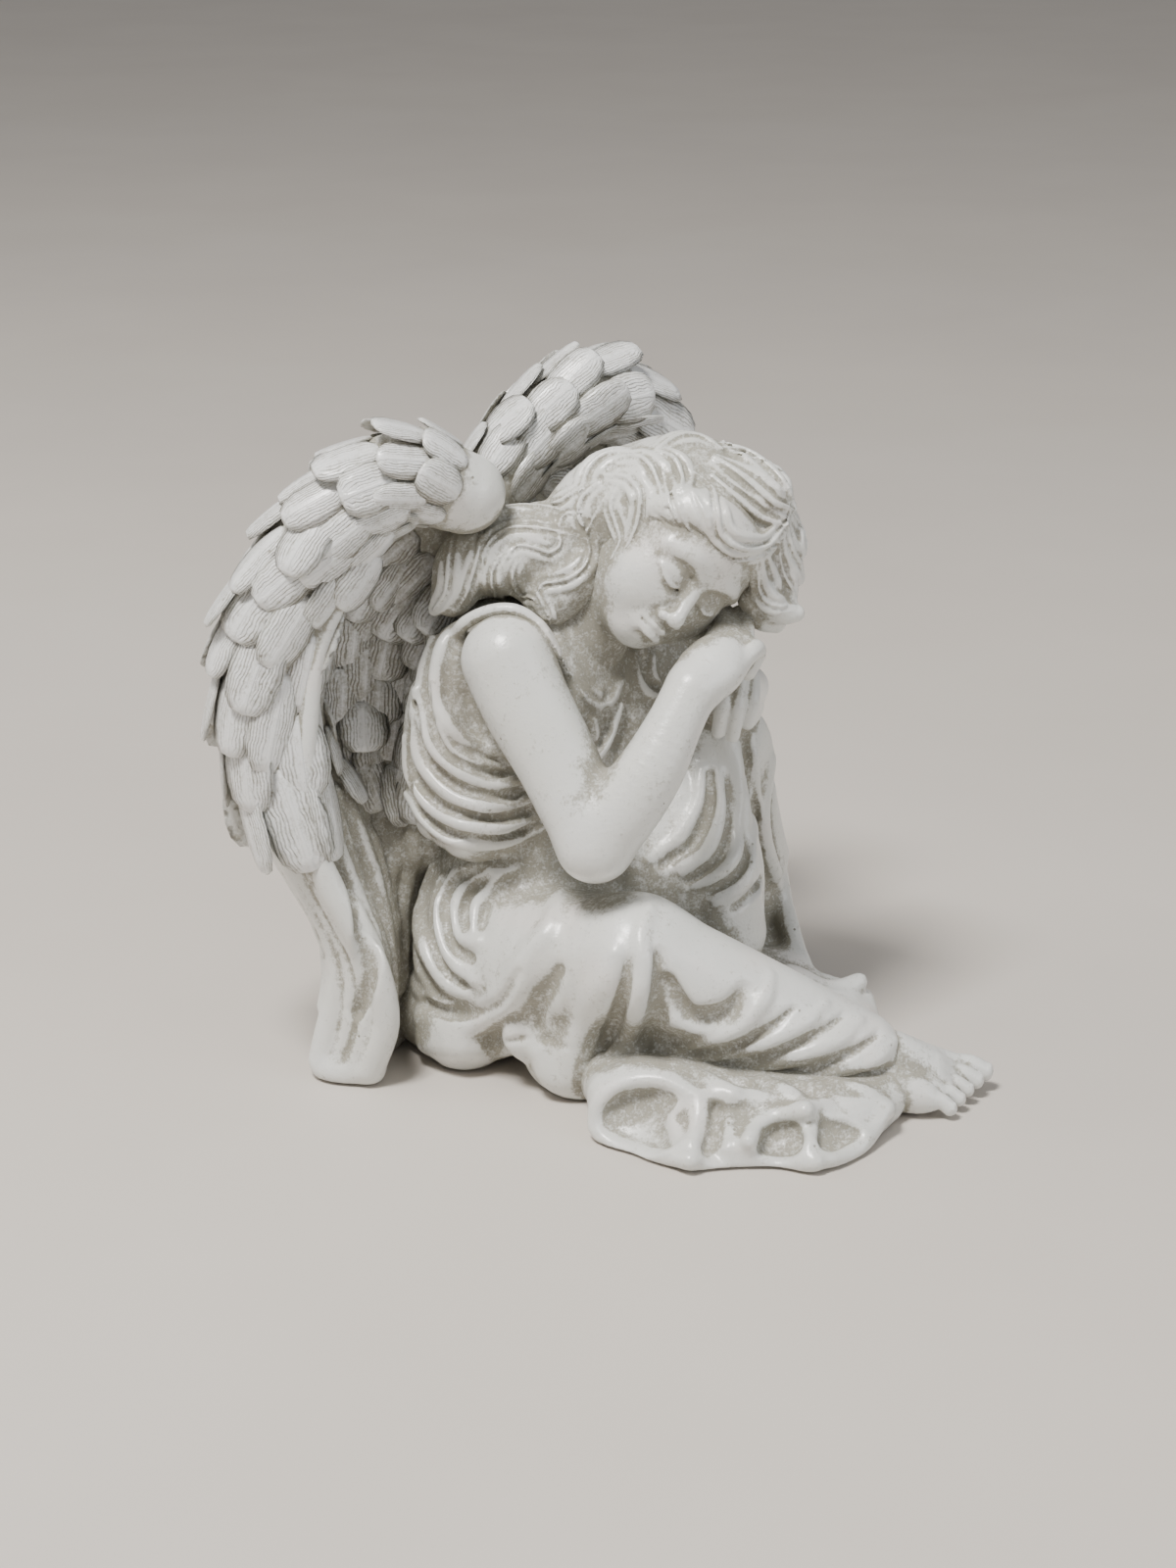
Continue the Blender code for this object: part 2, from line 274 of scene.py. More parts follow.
class Clay:
    """A block of clay: at each point of a grid, the distance to the surface in mm, negative inside."""

    def __init__(self, low, high, grain):
        self.grain = grain * 1.0
        self.low = np.array(low, float)
        self.count = np.ceil((np.array(high) - self.low) / self.grain).astype(int) + 1
        self.field = np.full(self.count, FAR, np.float32)

    def window(self, low, high):
        """The slices that cover a box, and the places of their grid points along x, y and z."""
        first = np.clip(np.floor((low - self.low) / self.grain).astype(int), 0, self.count - 1)
        last = np.clip(np.ceil((high - self.low) / self.grain).astype(int) + 1, first + 1, self.count)
        spot = tuple(slice(a, b) for a, b in zip(first, last))
        axes = []
        for k in range(3):
            steps = self.low[k] + self.grain * np.arange(first[k], last[k])
            axes.append(steps.astype(np.float32).reshape([-1 if k == j else 1 for j in range(3)]))
        return spot, axes

    def merge(self, spot, near, blend, carve):
        """Adds a shape to the clay, or carves it away."""
        old = self.field[spot]
        self.field[spot] = -soft_min(-old, near, blend) if carve else soft_min(old, near, blend)

    def rods(self, paths, blend=1.0, carve=False):
        """Tapering rods, each a row of x, y, z, radius points."""
        whole = np.vstack(paths)
        pad = blend + MARGIN
        low = (whole[:, :3] - whole[:, 3:4]).min(0) - pad
        high = (whole[:, :3] + whole[:, 3:4]).max(0) + pad
        spot, axes = self.window(low, high)
        near = np.full([s.stop - s.start for s in spot], FAR, np.float32)
        for path in paths:
            for a, b in zip(path, path[1:]):
                widest = max(a[3], b[3]) + pad
                inner, at = self.window(np.minimum(a[:3], b[:3]) - widest, np.maximum(a[:3], b[:3]) + widest)
                local = tuple(
                    slice(max(i.start, s.start) - s.start, min(i.stop, s.stop) - s.start)
                    for i, s in zip(inner, spot)
                )
                if any(piece.stop <= piece.start for piece in local):
                    continue
                x, y, z = (
                    axis.reshape(-1)[piece].reshape([-1 if k == j else 1 for j in range(3)])
                    for k, (axis, piece) in enumerate(zip(axes, local))
                )
                along = b[:3] - a[:3]
                span = max(float(along @ along), 1e-6)
                share = ((x - a[0]) * along[0] + (y - a[1]) * along[1] + (z - a[2]) * along[2]) / span
                share = np.clip(share, 0, 1)
                off = [v - a[k] - share * along[k] for k, v in enumerate((x, y, z))]
                gap = off[0] ** 2 + off[1] ** 2 + off[2] ** 2
                reach = np.sqrt(gap) - (a[3] + share * (b[3] - a[3]))
                near[local] = np.minimum(near[local], reach)
        self.merge(spot, near, blend, carve)

    def roll(self, points, blend=1.0, carve=False, steps=5):
        """One rod along a smooth curve."""
        self.rods([smooth_curve(points, steps)], blend, carve)

    def loft(self, first, second, count, blend=1.0, carve=False, steps=4):
        """A sheet of rods between two curves of as many points."""
        first, second = smooth_curve(first, steps), smooth_curve(second, steps)
        shares = np.linspace(0, 1, count)
        self.rods([first + (second - first) * share for share in shares], blend, carve)

    def lump(self, centre, radii, blend=1.0, carve=False, turn=None):
        """An ellipsoid. Its radii lie along the rows of turn, or along x, y and z."""
        turn = np.eye(3) if turn is None else np.array(turn, float)
        radii = np.array(radii, float)
        pad = radii.max() + blend + MARGIN
        spot, axes = self.window(np.array(centre) - pad, np.array(centre) + pad)
        off = [axis - centre[k] for k, axis in enumerate(axes)]
        inner = outer = 0
        for row, radius in zip(turn, radii):
            part = (off[0] * row[0] + off[1] * row[1] + off[2] * row[2]) / radius
            inner = inner + part**2
            outer = outer + (part / radius) ** 2
        inner = np.sqrt(inner)
        near = inner * (inner - 1) / np.maximum(np.sqrt(outer), 1e-6)
        self.merge(spot, near.astype(np.float32), blend, carve)

    def grind(self, level):
        """Takes off all the clay below a height, which leaves a flat underside."""
        heights = self.low[2] + self.grain * np.arange(self.count[2])
        self.field = np.maximum(self.field, (level - heights).astype(np.float32))

    def depth(self, points):
        """The distance to the surface at any points."""
        return read_grid(self.field, (points - self.low) / self.grain)

    def outward(self, points):
        """The direction that points away from the surface."""
        step = SLOPE_STEP * np.eye(3)
        slope = np.stack([self.depth(points + s) - self.depth(points - s) for s in step], axis=-1)
        return slope / np.maximum(np.linalg.norm(slope, axis=-1, keepdims=True), 1e-6)

    def drawn(self, marks, radius, sink=0.3, side=0.0):
        """Carries marks on to the surface. A mark is (across, up) on an upright board through the middle,
        as seen from an eye that has walked round by side degrees. Radius is one value or one for each."""
        turn = math.radians(side)
        across = np.array([math.cos(turn), math.sin(turn), 0])
        eye = EYE_DISTANCE * np.array([math.sin(turn), -math.cos(turn), 0]) + [0, 0, EYE_HEIGHT]
        along, given = np.linspace(0, 1, len(marks)), np.linspace(0, 1, np.size(radius))
        radius = np.interp(along, given, np.ravel(radius))
        path = []
        for (u, v), r in zip(marks, radius):
            board = u * across + np.array([0, 0, v])
            ray = (board - eye) / np.linalg.norm(board - eye)
            line = np.linalg.norm(board - eye) + np.arange(-SEARCH, SEARCH, self.grain / 2)
            points = eye + line[:, None] * ray
            level = self.depth(points)
            hits = np.nonzero(level < 0)[0]
            hit = points[hits[0]] if len(hits) else points[level.argmin()]
            path.append([*(hit - self.outward(hit) * r * sink), r])
        return np.array(path)

    def fold(self, marks, radius, sink=0.35, blend=1.6, side=0.0):
        """A roll of clay laid on along some marks."""
        self.roll(self.drawn(marks, radius, sink, side), blend, steps=4)

    def crease(self, marks, radius, sink=-0.1, blend=1.2, side=0.0):
        """A groove pressed in along some marks."""
        self.roll(self.drawn(marks, radius, sink, side), blend, carve=True, steps=4)

    def skin(self):
        """The surface as points and four-sided faces that point outwards."""
        self.field[[0, -1]] = self.field[:, [0, -1]] = self.field[:, :, [0, -1]] = FAR
        field = self.field
        solid = field < 0
        full = np.zeros(np.array(solid.shape) - 1, np.int8)
        cuts = (slice(0, -1), slice(1, None))
        for i, j, k in np.ndindex(2, 2, 2):
            full += solid[cuts[i], cuts[j], cuts[k]]
        cells = np.argwhere((full > 0) & (full < 8))
        number = np.full(full.shape, -1, np.int32)
        number[tuple(cells.T)] = np.arange(len(cells))
        total = np.zeros((len(cells), 3))
        crossings = np.zeros((len(cells), 1))
        for start in np.ndindex(2, 2, 2):
            for axis in range(3):
                if start[axis]:
                    continue
                stop = np.array(start)
                stop[axis] = 1
                a = field[tuple((cells + start).T)]
                b = field[tuple((cells + stop).T)]
                crossed = (a < 0) != (b < 0)
                share = np.where(crossed, a / np.where(crossed, a - b, 1), 0)[:, None]
                total += np.where(crossed[:, None], start + share * (stop - start), 0)
                crossings += crossed[:, None]
        points = self.low + self.grain * (cells + total / crossings)
        faces = []
        for axis in range(3):
            one, two = (axis + 1) % 3, (axis + 2) % 3
            ahead = [slice(1, -1)] * 3
            ahead[axis] = slice(1, None)
            here = [slice(1, -1)] * 3
            here[axis] = slice(0, -1)
            leaving = solid[tuple(here)] & ~solid[tuple(ahead)]
            entering = ~solid[tuple(here)] & solid[tuple(ahead)]
            for crossed, turned in ((leaving, False), (entering, True)):
                edge = np.argwhere(crossed)
                edge[:, one] += 1
                edge[:, two] += 1
                ring = []
                for back_one, back_two in ((1, 1), (0, 1), (0, 0), (1, 0)):
                    cell = edge.copy()
                    cell[:, one] -= back_one
                    cell[:, two] -= back_two
                    ring.append(number[tuple(cell.T)])
                faces.append(np.stack(ring[::-1] if turned else ring, axis=1))
        return points, np.vstack(faces)


painted = []


def cast(name, clay, node):
    """Pours one casting from its clay, and paints it later with the rest."""
    points, faces = clay.skin()
    mesh = bpy.data.meshes.new(name)
    mesh.from_pydata(points * MM, [], faces)
    mesh.polygons.foreach_set("use_smooth", np.ones(len(faces), bool))
    piece = bpy.data.objects.new(name, mesh)
    bpy.context.scene.collection.objects.link(piece)
    painted.append((piece, clay))
    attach(piece, "root")
    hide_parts(node)
    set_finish(piece, "cream_resin")


skirt = Clay((-48, -60, -2), (63, 56, 66), SKIRT_GRAIN)
# Seat and lap, then the near thigh and shin lying to the side, and the far thigh drawn up.
skirt.roll([(-16, 5, 22, 18), (-13, 5, 40, 15), (-12, 5, 50, 14)], 4)
skirt.loft([(-34, 4, 6, 7), (-24, -9, 6, 8)], [(-20, 12, 8, 11), (-12, 6, 10, 13)], 4, 4)
skirt.roll([(-18, -2, 19, 16), (-4, -16, 24, 13.5), (9, -26, 29, 11.3)], 4)
skirt.roll([(9, -26, 29, 11.3), (20, -27.5, 24.5, 10.6), (34, -27.5, 17.5, 10), (51, -27, 9.5, 8.4)], 4)
skirt.loft([(-2, -18, 8, 11), (20, -24, 7, 9), (44, -27, 5, 7)],
           [(0, 10, 8, 12), (20, 14, 7, 11), (36, 20, 6, 9)], 7, 4)
skirt.roll([(-8, 14, 26, 16), (8, 14, 44, 12), (24, 13, 57, 9.5)], 5)
skirt.roll([(25, 13, 58, 9), (28, 20, 38, 9.5), (31, 28, 20, 10), (32, 32, 8, 10)], 5)
skirt.loft([(22, 4, 50, 7), (24, 0, 38, 9), (24, 0, 24, 11)],
           [(4, 6, 44, 12), (4, 4, 36, 13), (4, 2, 26, 13)], 5, 5)
# Cloth that trails on the table behind: the far side, the near end of the far hem, and a raised corner.
skirt.loft([(20, 20, 16, 8), (34, 30, 6, 7), (41, 46, 3, 3.5)],
           [(16, 24, 8, 8), (30, 36, 4, 6), (36, 48, 2.5, 3.5)], 4, 3)
skirt.loft([(33, 22, 34, 2.6), (39, 36, 14, 2.0), (41, 44, 9, 1.8)],
           [(31, 22, 22, 6), (36, 34, 8, 5), (41, 46, 3, 3)], 5, 2)
skirt.roll([(33, 29, 32, 3.5), (36, 33, 20, 4.5), (38, 35, 8, 5)], 3)
skirt.loft([(38, 10, 5, 6), (47, 9, 5, 5), (55, 8, 5, 2.5)],
           [(44, -14, 6, 8), (50, -10, 6, 6), (55, 0, 4, 3)], 5, 3)
skirt.loft([(46, 2, 8, 2.2), (54, 6, 10, 1.8)], [(46, 2, 3, 3), (54, 7, 2, 2.5)], 3, 2)

# Hip: the cloth swirls in rings where the thigh leaves the seat.
for marks, radius in (
    ([(-20.5, 36), (-23.5, 33.5), (-25.5, 29), (-26, 24.5), (-24.5, 22), (-21.5, 21)], (1.2, 1.9, 1.2)),
    ([(-19, 37), (-27, 35), (-29, 31), (-29.5, 26.5), (-28.5, 21), (-26, 16), (-22.5, 13)], (1.2, 2.0, 1.0)),
    ([(-30, 37), (-32, 31), (-33, 26.5), (-32.5, 21), (-30.5, 16), (-27.5, 11.5), (-24, 10)],
     (1.2, 1.9, 0.9)),
    ([(-35.5, 14), (-32, 9), (-28, 7), (-23.5, 6)], (0.8, 1.3, 0.7)),
    ([(-18, 34.5), (-21.5, 29.5), (-22.5, 24)], (1.0, 1.5, 1.0)),
    ([(-14, 37), (-19, 35.5), (-23.5, 36.5)], (0.8, 1.4, 0.8)),
):
    skirt.fold(marks, radius, sink=0.15)
for marks, radius in (
    ([(-19.5, 35), (-22.6, 31.5), (-24.2, 27.5), (-24, 24)], (0.6, 0.9, 0.8)),
    ([(-21, 36.5), (-25.5, 34.2), (-27.5, 30), (-27.8, 25.5), (-26.3, 20), (-23, 17.5)], (0.6, 1.1, 0.9)),
    ([(-27, 37), (-30.4, 31), (-31.2, 26.5), (-30.6, 21.5), (-28, 15), (-24.5, 12)], (0.6, 1.0, 0.8)),
    ([(-34.5, 31), (-35, 22), (-33, 15), (-29.5, 10)], (0.8, 1.2, 0.7)),
    ([(-20, 28), (-20.8, 24.5)], (0.9, 0.7)),
):
    skirt.crease(marks, radius)
# Thigh and shin: long rolls that fall from the knee to the floor and run out to the right.
for marks, radius, blend in (
    ([(-5, 32), (-7.5, 24.5), (-12.5, 16.5), (-15.5, 10), (-20.5, 5), (-27, 2.5), (-33, 5)],
     (1.2, 3.0, 3.2, 2.0), 2.0),
    ([(-11, -0.5), (-17.5, -1.5), (-25, -1.5), (-32.5, -0.5)], (1.5, 3.4, 2.2), 2.4),
    ([(12, 28), (10.5, 22), (11, 15.5), (10, 8.5), (8.5, 1.5), (4, -5), (2, -9.5)], (1.0, 2.0, 2.2, 1.5),
     1.3),
    ([(5, 18.5), (3, 12), (0, 5), (-2.5, -1.5), (-3.5, -8.5)], (1.0, 2.4, 2.6, 2.0), 2.6),
    ([(-10, -3), (-7.5, -8.5), (-1.5, -12)], (1.4, 2.4, 1.8), 2.4),
    ([(36, 14), (35, 9), (31, 3.5), (25.5, 0), (18, -1.5)], (0.8, 1.7, 1.5, 0.8), 1.1),
    ([(47, 8), (43, 3.5), (35, -1), (26, -3.5), (18, -4)], (0.7, 1.5, 1.4, 0.7), 1.0),
    ([(54, 4.5), (49.5, -0.5), (41, -4), (31, -6.5), (22.5, -7.5)], (0.7, 1.6, 1.5, 0.8), 1.0),
    ([(61, 0), (57, -4.5), (49, -7.5), (40, -9.5), (32.5, -10)], (0.7, 1.6, 1.4, 0.8), 1.0),
):
    skirt.fold(marks, radius, sink=0.3, blend=blend)
for marks, radius, blend in (
    ([(14, 18.5), (14.5, 12), (14, 5), (11.5, -1)], (0.8, 1.8, 2.2, 1.4), 1.5),
    ([(16, 12.5), (20, 5), (27, 5.5), (31, 11)], (1.2, 2.4, 2.2, 0.9), 2.0),
    ([(41, 7), (36, 2.5), (28.5, -1.5), (21, -3)], (0.5, 0.9, 0.9, 0.6), 0.7),
    ([(51, 5.5), (46, 1.5), (37.5, -2.5), (27.5, -5)], (0.5, 0.9, 0.9, 0.6), 0.7),
    ([(58, 1.5), (53, -2.5), (45, -6), (36.5, -8)], (0.5, 0.9, 0.9, 0.6), 0.7),
    ([(60, -6), (54, -8.5), (46.5, -10)], (0.6, 1.1, 0.8), 1.0),
    ([(4, -7.5), (13.5, -5), (23.5, -8.5), (36.5, -11.5), (49, -11.5)], (0.9, 1.5, 1.4, 1.0), 1.4),
    ([(-6, 15), (-8.5, 10), (-10, 6.5)], (0.8, 1.5, 1.0), 2.6),
    ([(-14, 14.5), (-18, 7.5), (-25, 5.5), (-32.5, 8)], (0.7, 1.3, 1.0), 1.2),
    ([(8, 17), (6.8, 9), (4.5, 2), (1, -5)], (0.6, 1.2, 1.3, 0.8), 1.4),
):
    skirt.crease(marks, radius, sink=0.0, blend=blend)
# A knot of gathered cloth low on the thigh, with short creases running in to it.
knot = skirt.drawn([(-10.5, 1.5)], 2.0, sink=0.1)[0]
skirt.lump(knot[:3] + (0, 3.0, -1.5), (6.5, 3.6, 6.0), 1.5)
for marks in ([(-12.5, 0.6), (-16.5, -0.5)], [(-8, 0.3), (-4, -1.5)], [(-9.6, 3), (-9, 6.5)]):
    skirt.crease(marks, (0.7, 0.4), sink=-0.4, blend=0.6)
for turn in np.linspace(0.4, math.tau + 0.4, 5, endpoint=False):
    petal = knot[:3] + 1.2 * np.array([math.cos(turn), 0, math.sin(turn)])
    skirt.rods([np.array([[*knot[:3], 0.6], [*petal, 0.8]])], 0.3)
# The drape that hangs from the raised knee.
for marks, radius in (
    ([(22, 57), (21, 50), (17.5, 43.5), (12, 38.5)], (0.8, 1.3, 0.9)),
    ([(25, 57), (25.5, 48.5), (23.5, 40.5), (18.5, 35.5)], (0.8, 1.5, 1.4, 0.8)),
    ([(28.5, 62), (30, 46), (27.5, 37.5), (21, 33)], (0.8, 1.6, 1.5, 0.8)),
    ([(31, 52), (31.8, 39), (30, 33), (25, 29.5)], (0.8, 1.4, 1.4, 0.8)),
    ([(32, 60), (33.5, 44.5), (36, 35.5), (40, 27)], (0.8, 1.1, 1.1, 0.8)),
):
    skirt.fold(marks, radius, sink=0.15, blend=0.9)
for marks, radius in (
    ([(23.5, 56.5), (23.5, 49.5), (20.5, 42), (14.5, 37)], (0.7, 1.2, 1.2, 0.8)),
    ([(27, 58), (27.6, 47), (25.5, 39), (19.5, 34)], (0.7, 1.1, 1.1, 0.7)),
    ([(30, 56), (31, 41.5), (29, 35.5), (23, 31.3)], (0.6, 1.0, 1.0, 0.7)),
    ([(32.3, 50), (33.3, 40.5), (32.8, 32.5), (28.5, 28)], (0.6, 1.0, 1.0, 0.7)),
):
    skirt.crease(marks, radius, sink=0.0, blend=0.8)
# Plainer folds at the back, and on the far side of the raised leg.
for side, marks, width in (
    (180, [(-8, 44), (-12, 30), (-16, 16), (-22, 4)], 2.2),
    (180, [(4, 46), (3, 30), (4, 16), (2, 3)], 2.0),
    (180, [(-26, 50), (-32, 34), (-38, 20), (-44, 6)], 2.2),
    (180, [(-20, 46), (-24, 30), (-30, 14), (-33, 4)], 1.8),
    (180, [(16, 40), (20, 26), (24, 12), (26, 3)], 2.0),
    (90, [(10, 60), (14, 46), (20, 30), (30, 12)], 2.2),
    (90, [(18, 60), (24, 44), (32, 26), (42, 8)], 1.8),
    (90, [(4, 52), (2, 38), (2, 24), (6, 10)], 1.9),
    (90, [(14, 40), (14, 26), (20, 12)], 1.6),
):
    skirt.fold(marks, (0.5 * width, width, 0.9 * width), sink=0.35, blend=2.4, side=side)
    beside = [(across + 1.5 * width, up) for across, up in marks]
    skirt.crease(beside, (0.4 * width, 0.8 * width, 0.6 * width), sink=-0.2, blend=2.0, side=side)
skirt.grind(0.15)
cast("skirt", skirt, "body_casting")

# ---------------------------------------------------------------------------------------------------
# The ruffle at the near end of the hem, also on the body casting: a dished lobe with a rolled rim, then two
# flutes with smaller dishes in them. Its clay was rolled over on the table and the dishes pressed in.

ruffle = Clay((-6, -62, -2), (64, -20, 20), 0.4)
FRONT = [(3.5, -42, 2, 3), (8, -47.5, 2, 3), (14, -51.3, 2, 3), (21, -53.6, 2, 3), (27, -52.2, 2, 3),
         (33.5, -52.4, 2, 3), (40.5, -53.6, 2, 3), (46.5, -50.6, 2, 3), (51.5, -43.5, 2, 2.6),
         (56.5, -36, 2, 2)]
TOP = [(4.5, -38.5, 6.5, 4), (9, -39, 8.4, 4.2), (14, -40, 8.4, 4.2), (20, -41, 6.6, 4),
       (26, -40.6, 5.6, 3.6), (32, -41.5, 5.6, 3.6), (39, -42, 5.0, 3.6), (45, -40, 4.8, 3.4),
       (51, -38, 4.4, 3), (57, -34, 4, 2.4)]
BACK = [(x, -28.5, 4.6, 6.4) for x in np.linspace(5, 56, 10)]
ruffle.loft(FRONT, TOP, 6, 3)
ruffle.loft(TOP, BACK, 5, 3)
# A big cup at the left and two smaller ones at the right, shallow dishes that lean back.
for mark, radii in (
    ((11, -17.3), (9.6, 4.2, 7.2)),
    ((38.6, -22), (5.0, 3.8, 5.6)),
    ((51, -21), (6.4, 3.6, 4.8)),
):
    dish = ruffle.drawn([mark], 1.0, sink=0)[0, :3]
    facing = ruffle.outward(dish)
    ruffle.lump(dish - 0.3 * facing, radii, 1.0, carve=True,
                turn=((1, 0, 0), facing, np.cross((1, 0, 0), facing)))
for marks, radius in (
    ([(25.5, -14), (24.8, -19.5), (24.4, -24), (26.5, -27)], (1.3, 2.4, 2.6, 1.4)),
    ([(24, -7.5), (31, -9.5), (36.5, -13.5)], (0.8, 1.6, 1.0)),
    ([(41.5, -9.5), (46.5, -12), (49.5, -13.5)], (0.8, 1.4, 0.9)),
):
    ruffle.crease(marks, radius, sink=0.0, blend=1.6)
for marks, radius in (
    ([(18.6, -14.5), (17.2, -18), (18.4, -22.5), (21, -26)], (0.7, 1.3, 1.2)),
    ([(24.5, -12), (31, -12.5), (37.5, -14), (43.5, -15.5)], (1.7, 2.2, 1.3)),
    ([(17.5, -5.5), (23, -8), (29, -12)], (0.9, 1.8, 1.5)),
    ([(35, -8.5), (40, -11.5), (43.5, -15)], (0.9, 1.7, 1.3)),
    ([(49, -9), (55, -11.5), (60, -15)], (0.9, 1.7, 1.3)),
    ([(43.5, -15.5), (49, -14), (54.5, -15), (60, -15.5)], (1.2, 1.7, 1.3)),
    ([(43.5, -15.5), (45.2, -19), (44.8, -23), (43.6, -27)], (1.1, 1.0, 1.1)),
    ([(30.5, -28.5), (32, -23.5), (34.2, -19.5), (38, -16.6), (43.5, -15.5)], (1.5, 1.4, 1.1)),
    ([(45.5, -27), (49.5, -26.5), (54.5, -23.5), (58, -19.5), (60, -15.5)], (1.2, 1.3, 1.1)),
    ([(20.5, -27), (25, -28.2), (33.5, -27.5), (39, -27.8), (46, -27.5)], (1.2, 1.3, 1.2)),
    ([(21.5, -23), (23, -19.5), (23, -15.5), (21, -11.8), (14.5, -9.4), (7, -10.2), (2.7, -13.2),
      (1.2, -17.5), (1.8, -20.5), (4.6, -23), (12, -25.2), (20.5, -27)], (1.2, 1.3, 1.2)),
):
    ruffle.fold(marks, radius, sink=0.3, blend=1.8)
ruffle.grind(0.15)
cast("hem_ruffle", ruffle, "body_casting")

# ---------------------------------------------------------------------------------------------------
# The bodice, the upper half of the body casting: chest, left sleeve out to the raised knee, and the loose
# cloth that hangs in swags from the near shoulder under the bare arm.

bodice = Clay((-42, -24, 34), (40, 34, 97), 0.45)
bodice.roll([(-14, 5, 44, 14), (-12, 6, 56, 15.5), (-11, 6, 66, 16), (-8, 6, 76, 13.5)], 4)
bodice.loft([(-15, -5, 80, 8.5), (-12, -4, 72, 10)], [(3, 15, 81, 9), (4, 12, 72, 10)], 6, 4)
bodice.roll([(-4, 5, 80, 8), (-1, 4, 86, 7)], 4)
bodice.roll([(3, 15, 81, 9), (19, 20, 70, 8), (27, 10, 67, 6.5), (30, 3, 72, 4)], 4)
bodice.loft([(-6, 6, 66, 11), (-4, 4, 56, 12)], [(18, 14, 62, 7), (14, 12, 52, 8)], 5, 4)
# The near shoulder's cloth: a flared cup round the arm, and the fall behind it.
bodice.loft([(-25, -4, 80, 4), (-27, -5, 70, 4.5), (-27, -6, 60, 5), (-22, -9, 50, 6)],
            [(-18, 4, 82, 8), (-22, 3, 70, 8), (-24, 2, 58, 8), (-18, 0, 48, 10)], 4, 3)
bodice.loft([(-25.5, -2, 84.5, 2.0), (-30.8, -2.5, 73, 3.2), (-32, -3.5, 60, 3.4), (-29, -6, 49, 4)],
            [(-25, -2, 82, 4), (-27, -3, 72, 4.5), (-27, -4, 60, 5), (-23, -7, 48, 6)], 3, 3)
bodice.roll([(-26, -5, 68, 5.5), (-24, -7, 60, 6), (-20, -9, 53, 6.5)], 3)
bodice.roll([(-15, -11.5, 83, 9.7), (-10.5, -15.5, 74, 9.4)], 1.5, carve=True)
bodice.lump((-20.5, -13.5, 73), (3.6, 4.6, 7), 3.0, carve=True)
rim = [(-14.5, 87), (-19, 88), (-24, 85.8), (-27.3, 82), (-28.7, 76), (-28.7, 71), (-26.8, 66.3),
       (-23.5, 63), (-20, 61.3), (-16, 60.8)]
bodice.fold(rim, (1.1, 1.7, 1.6, 1.0), sink=0.0, blend=0.8)
bodice.roll([(-25.5, -3.5, 84, 1.3), (-23, -7, 88.6, 1.3), (-18, -8.5, 91.4, 1.3), (-13, -9.5, 91.6, 1.3),
             (-8.5, -10, 88.4, 1.2), (-6, -10.5, 84, 1.1)], 1.0)
bodice.fold([(-14.5, 86.5), (-11, 83.5), (-8.2, 78.5), (-6.3, 73.5), (-5.2, 70), (-5.6, 66)],
            (1.0, 1.1, 0.9), sink=0.1, blend=0.8)
for marks, radius in (
    ([(-29.5, 83.5), (-31.5, 77), (-32, 69.5), (-30, 62), (-24.5, 56.5), (-18, 54), (-10, 56)],
     (0.8, 1.4, 1.5, 1.0)),
    ([(-33, 73), (-33.5, 65.5), (-32, 58), (-26.5, 52), (-20, 49.5), (-14, 50), (-8, 53)],
     (0.8, 1.4, 1.5, 1.0)),
    ([(-35, 63.5), (-34.5, 56), (-30.5, 49.5), (-24.5, 46), (-17.5, 45), (-11, 47.5), (-5, 51.5)],
     (0.8, 1.5, 1.5, 1.0)),
    ([(-35, 52), (-31.5, 46.5), (-26, 42.5), (-18, 41.8), (-10.5, 44.5), (-4, 49)], (0.8, 1.4, 1.4, 1.0)),
    ([(-28.5, 66), (-26.5, 61), (-22, 58.6), (-16.5, 57.5)], (0.6, 1.0, 0.8)),
):
    bodice.fold(marks, radius, sink=0.1, blend=0.8)
for marks, radius in (
    ([(-30.4, 74), (-29.8, 66), (-27.4, 60.5), (-22, 57), (-16, 55.8)], (0.5, 0.9, 0.8)),
    ([(-32.8, 76), (-32.8, 67.5), (-31, 60), (-25.5, 54), (-19, 51.5), (-14, 51.5)], (0.5, 1.0, 0.9)),
    ([(-34.4, 67), (-33.6, 57), (-29.5, 50.8), (-24, 48), (-16, 47.2), (-12, 48)], (0.5, 1.0, 0.9)),
    ([(-34.8, 56), (-32.5, 49.5), (-28, 44.6), (-21.5, 43.3), (-13, 44.5)], (0.5, 1.0, 0.9)),
):
    bodice.crease(marks, radius, sink=-0.15, blend=0.8)
# The front: neckline, its beaded band, and soft pleats between the arms.
for marks, radius in (
    ([(-9, 86), (-7.2, 82.5), (-4.6, 77.5), (-1.5, 72.5), (1.5, 70), (4.2, 70.6), (6.2, 75)],
     (0.7, 0.8, 0.8)),
    ([(-6.5, 86), (-4.8, 82), (-2.2, 77.3), (0.3, 73.4), (2.2, 72.4)], (0.5, 0.6, 0.5)),
    ([(-1, 57), (2, 60.5), (4.3, 64.5), (6.4, 70)], (0.8, 1.6, 0.9)),
    ([(-3.4, 66), (-2.4, 61), (-0.6, 56.5)], (0.7, 1.2, 0.8)),
    ([(1, 67), (1.6, 62.5), (0.6, 58.5)], (0.6, 1.0, 0.7)),
    ([(8.5, 80), (9.4, 76), (11.5, 72.6), (14.4, 72.4)], (0.8, 1.1, 0.8)),
    ([(12.2, 80), (12.4, 76.5), (14, 74)], (0.6, 0.8, 0.6)),
):
    bodice.fold(marks, radius, sink=0.15, blend=1.0)
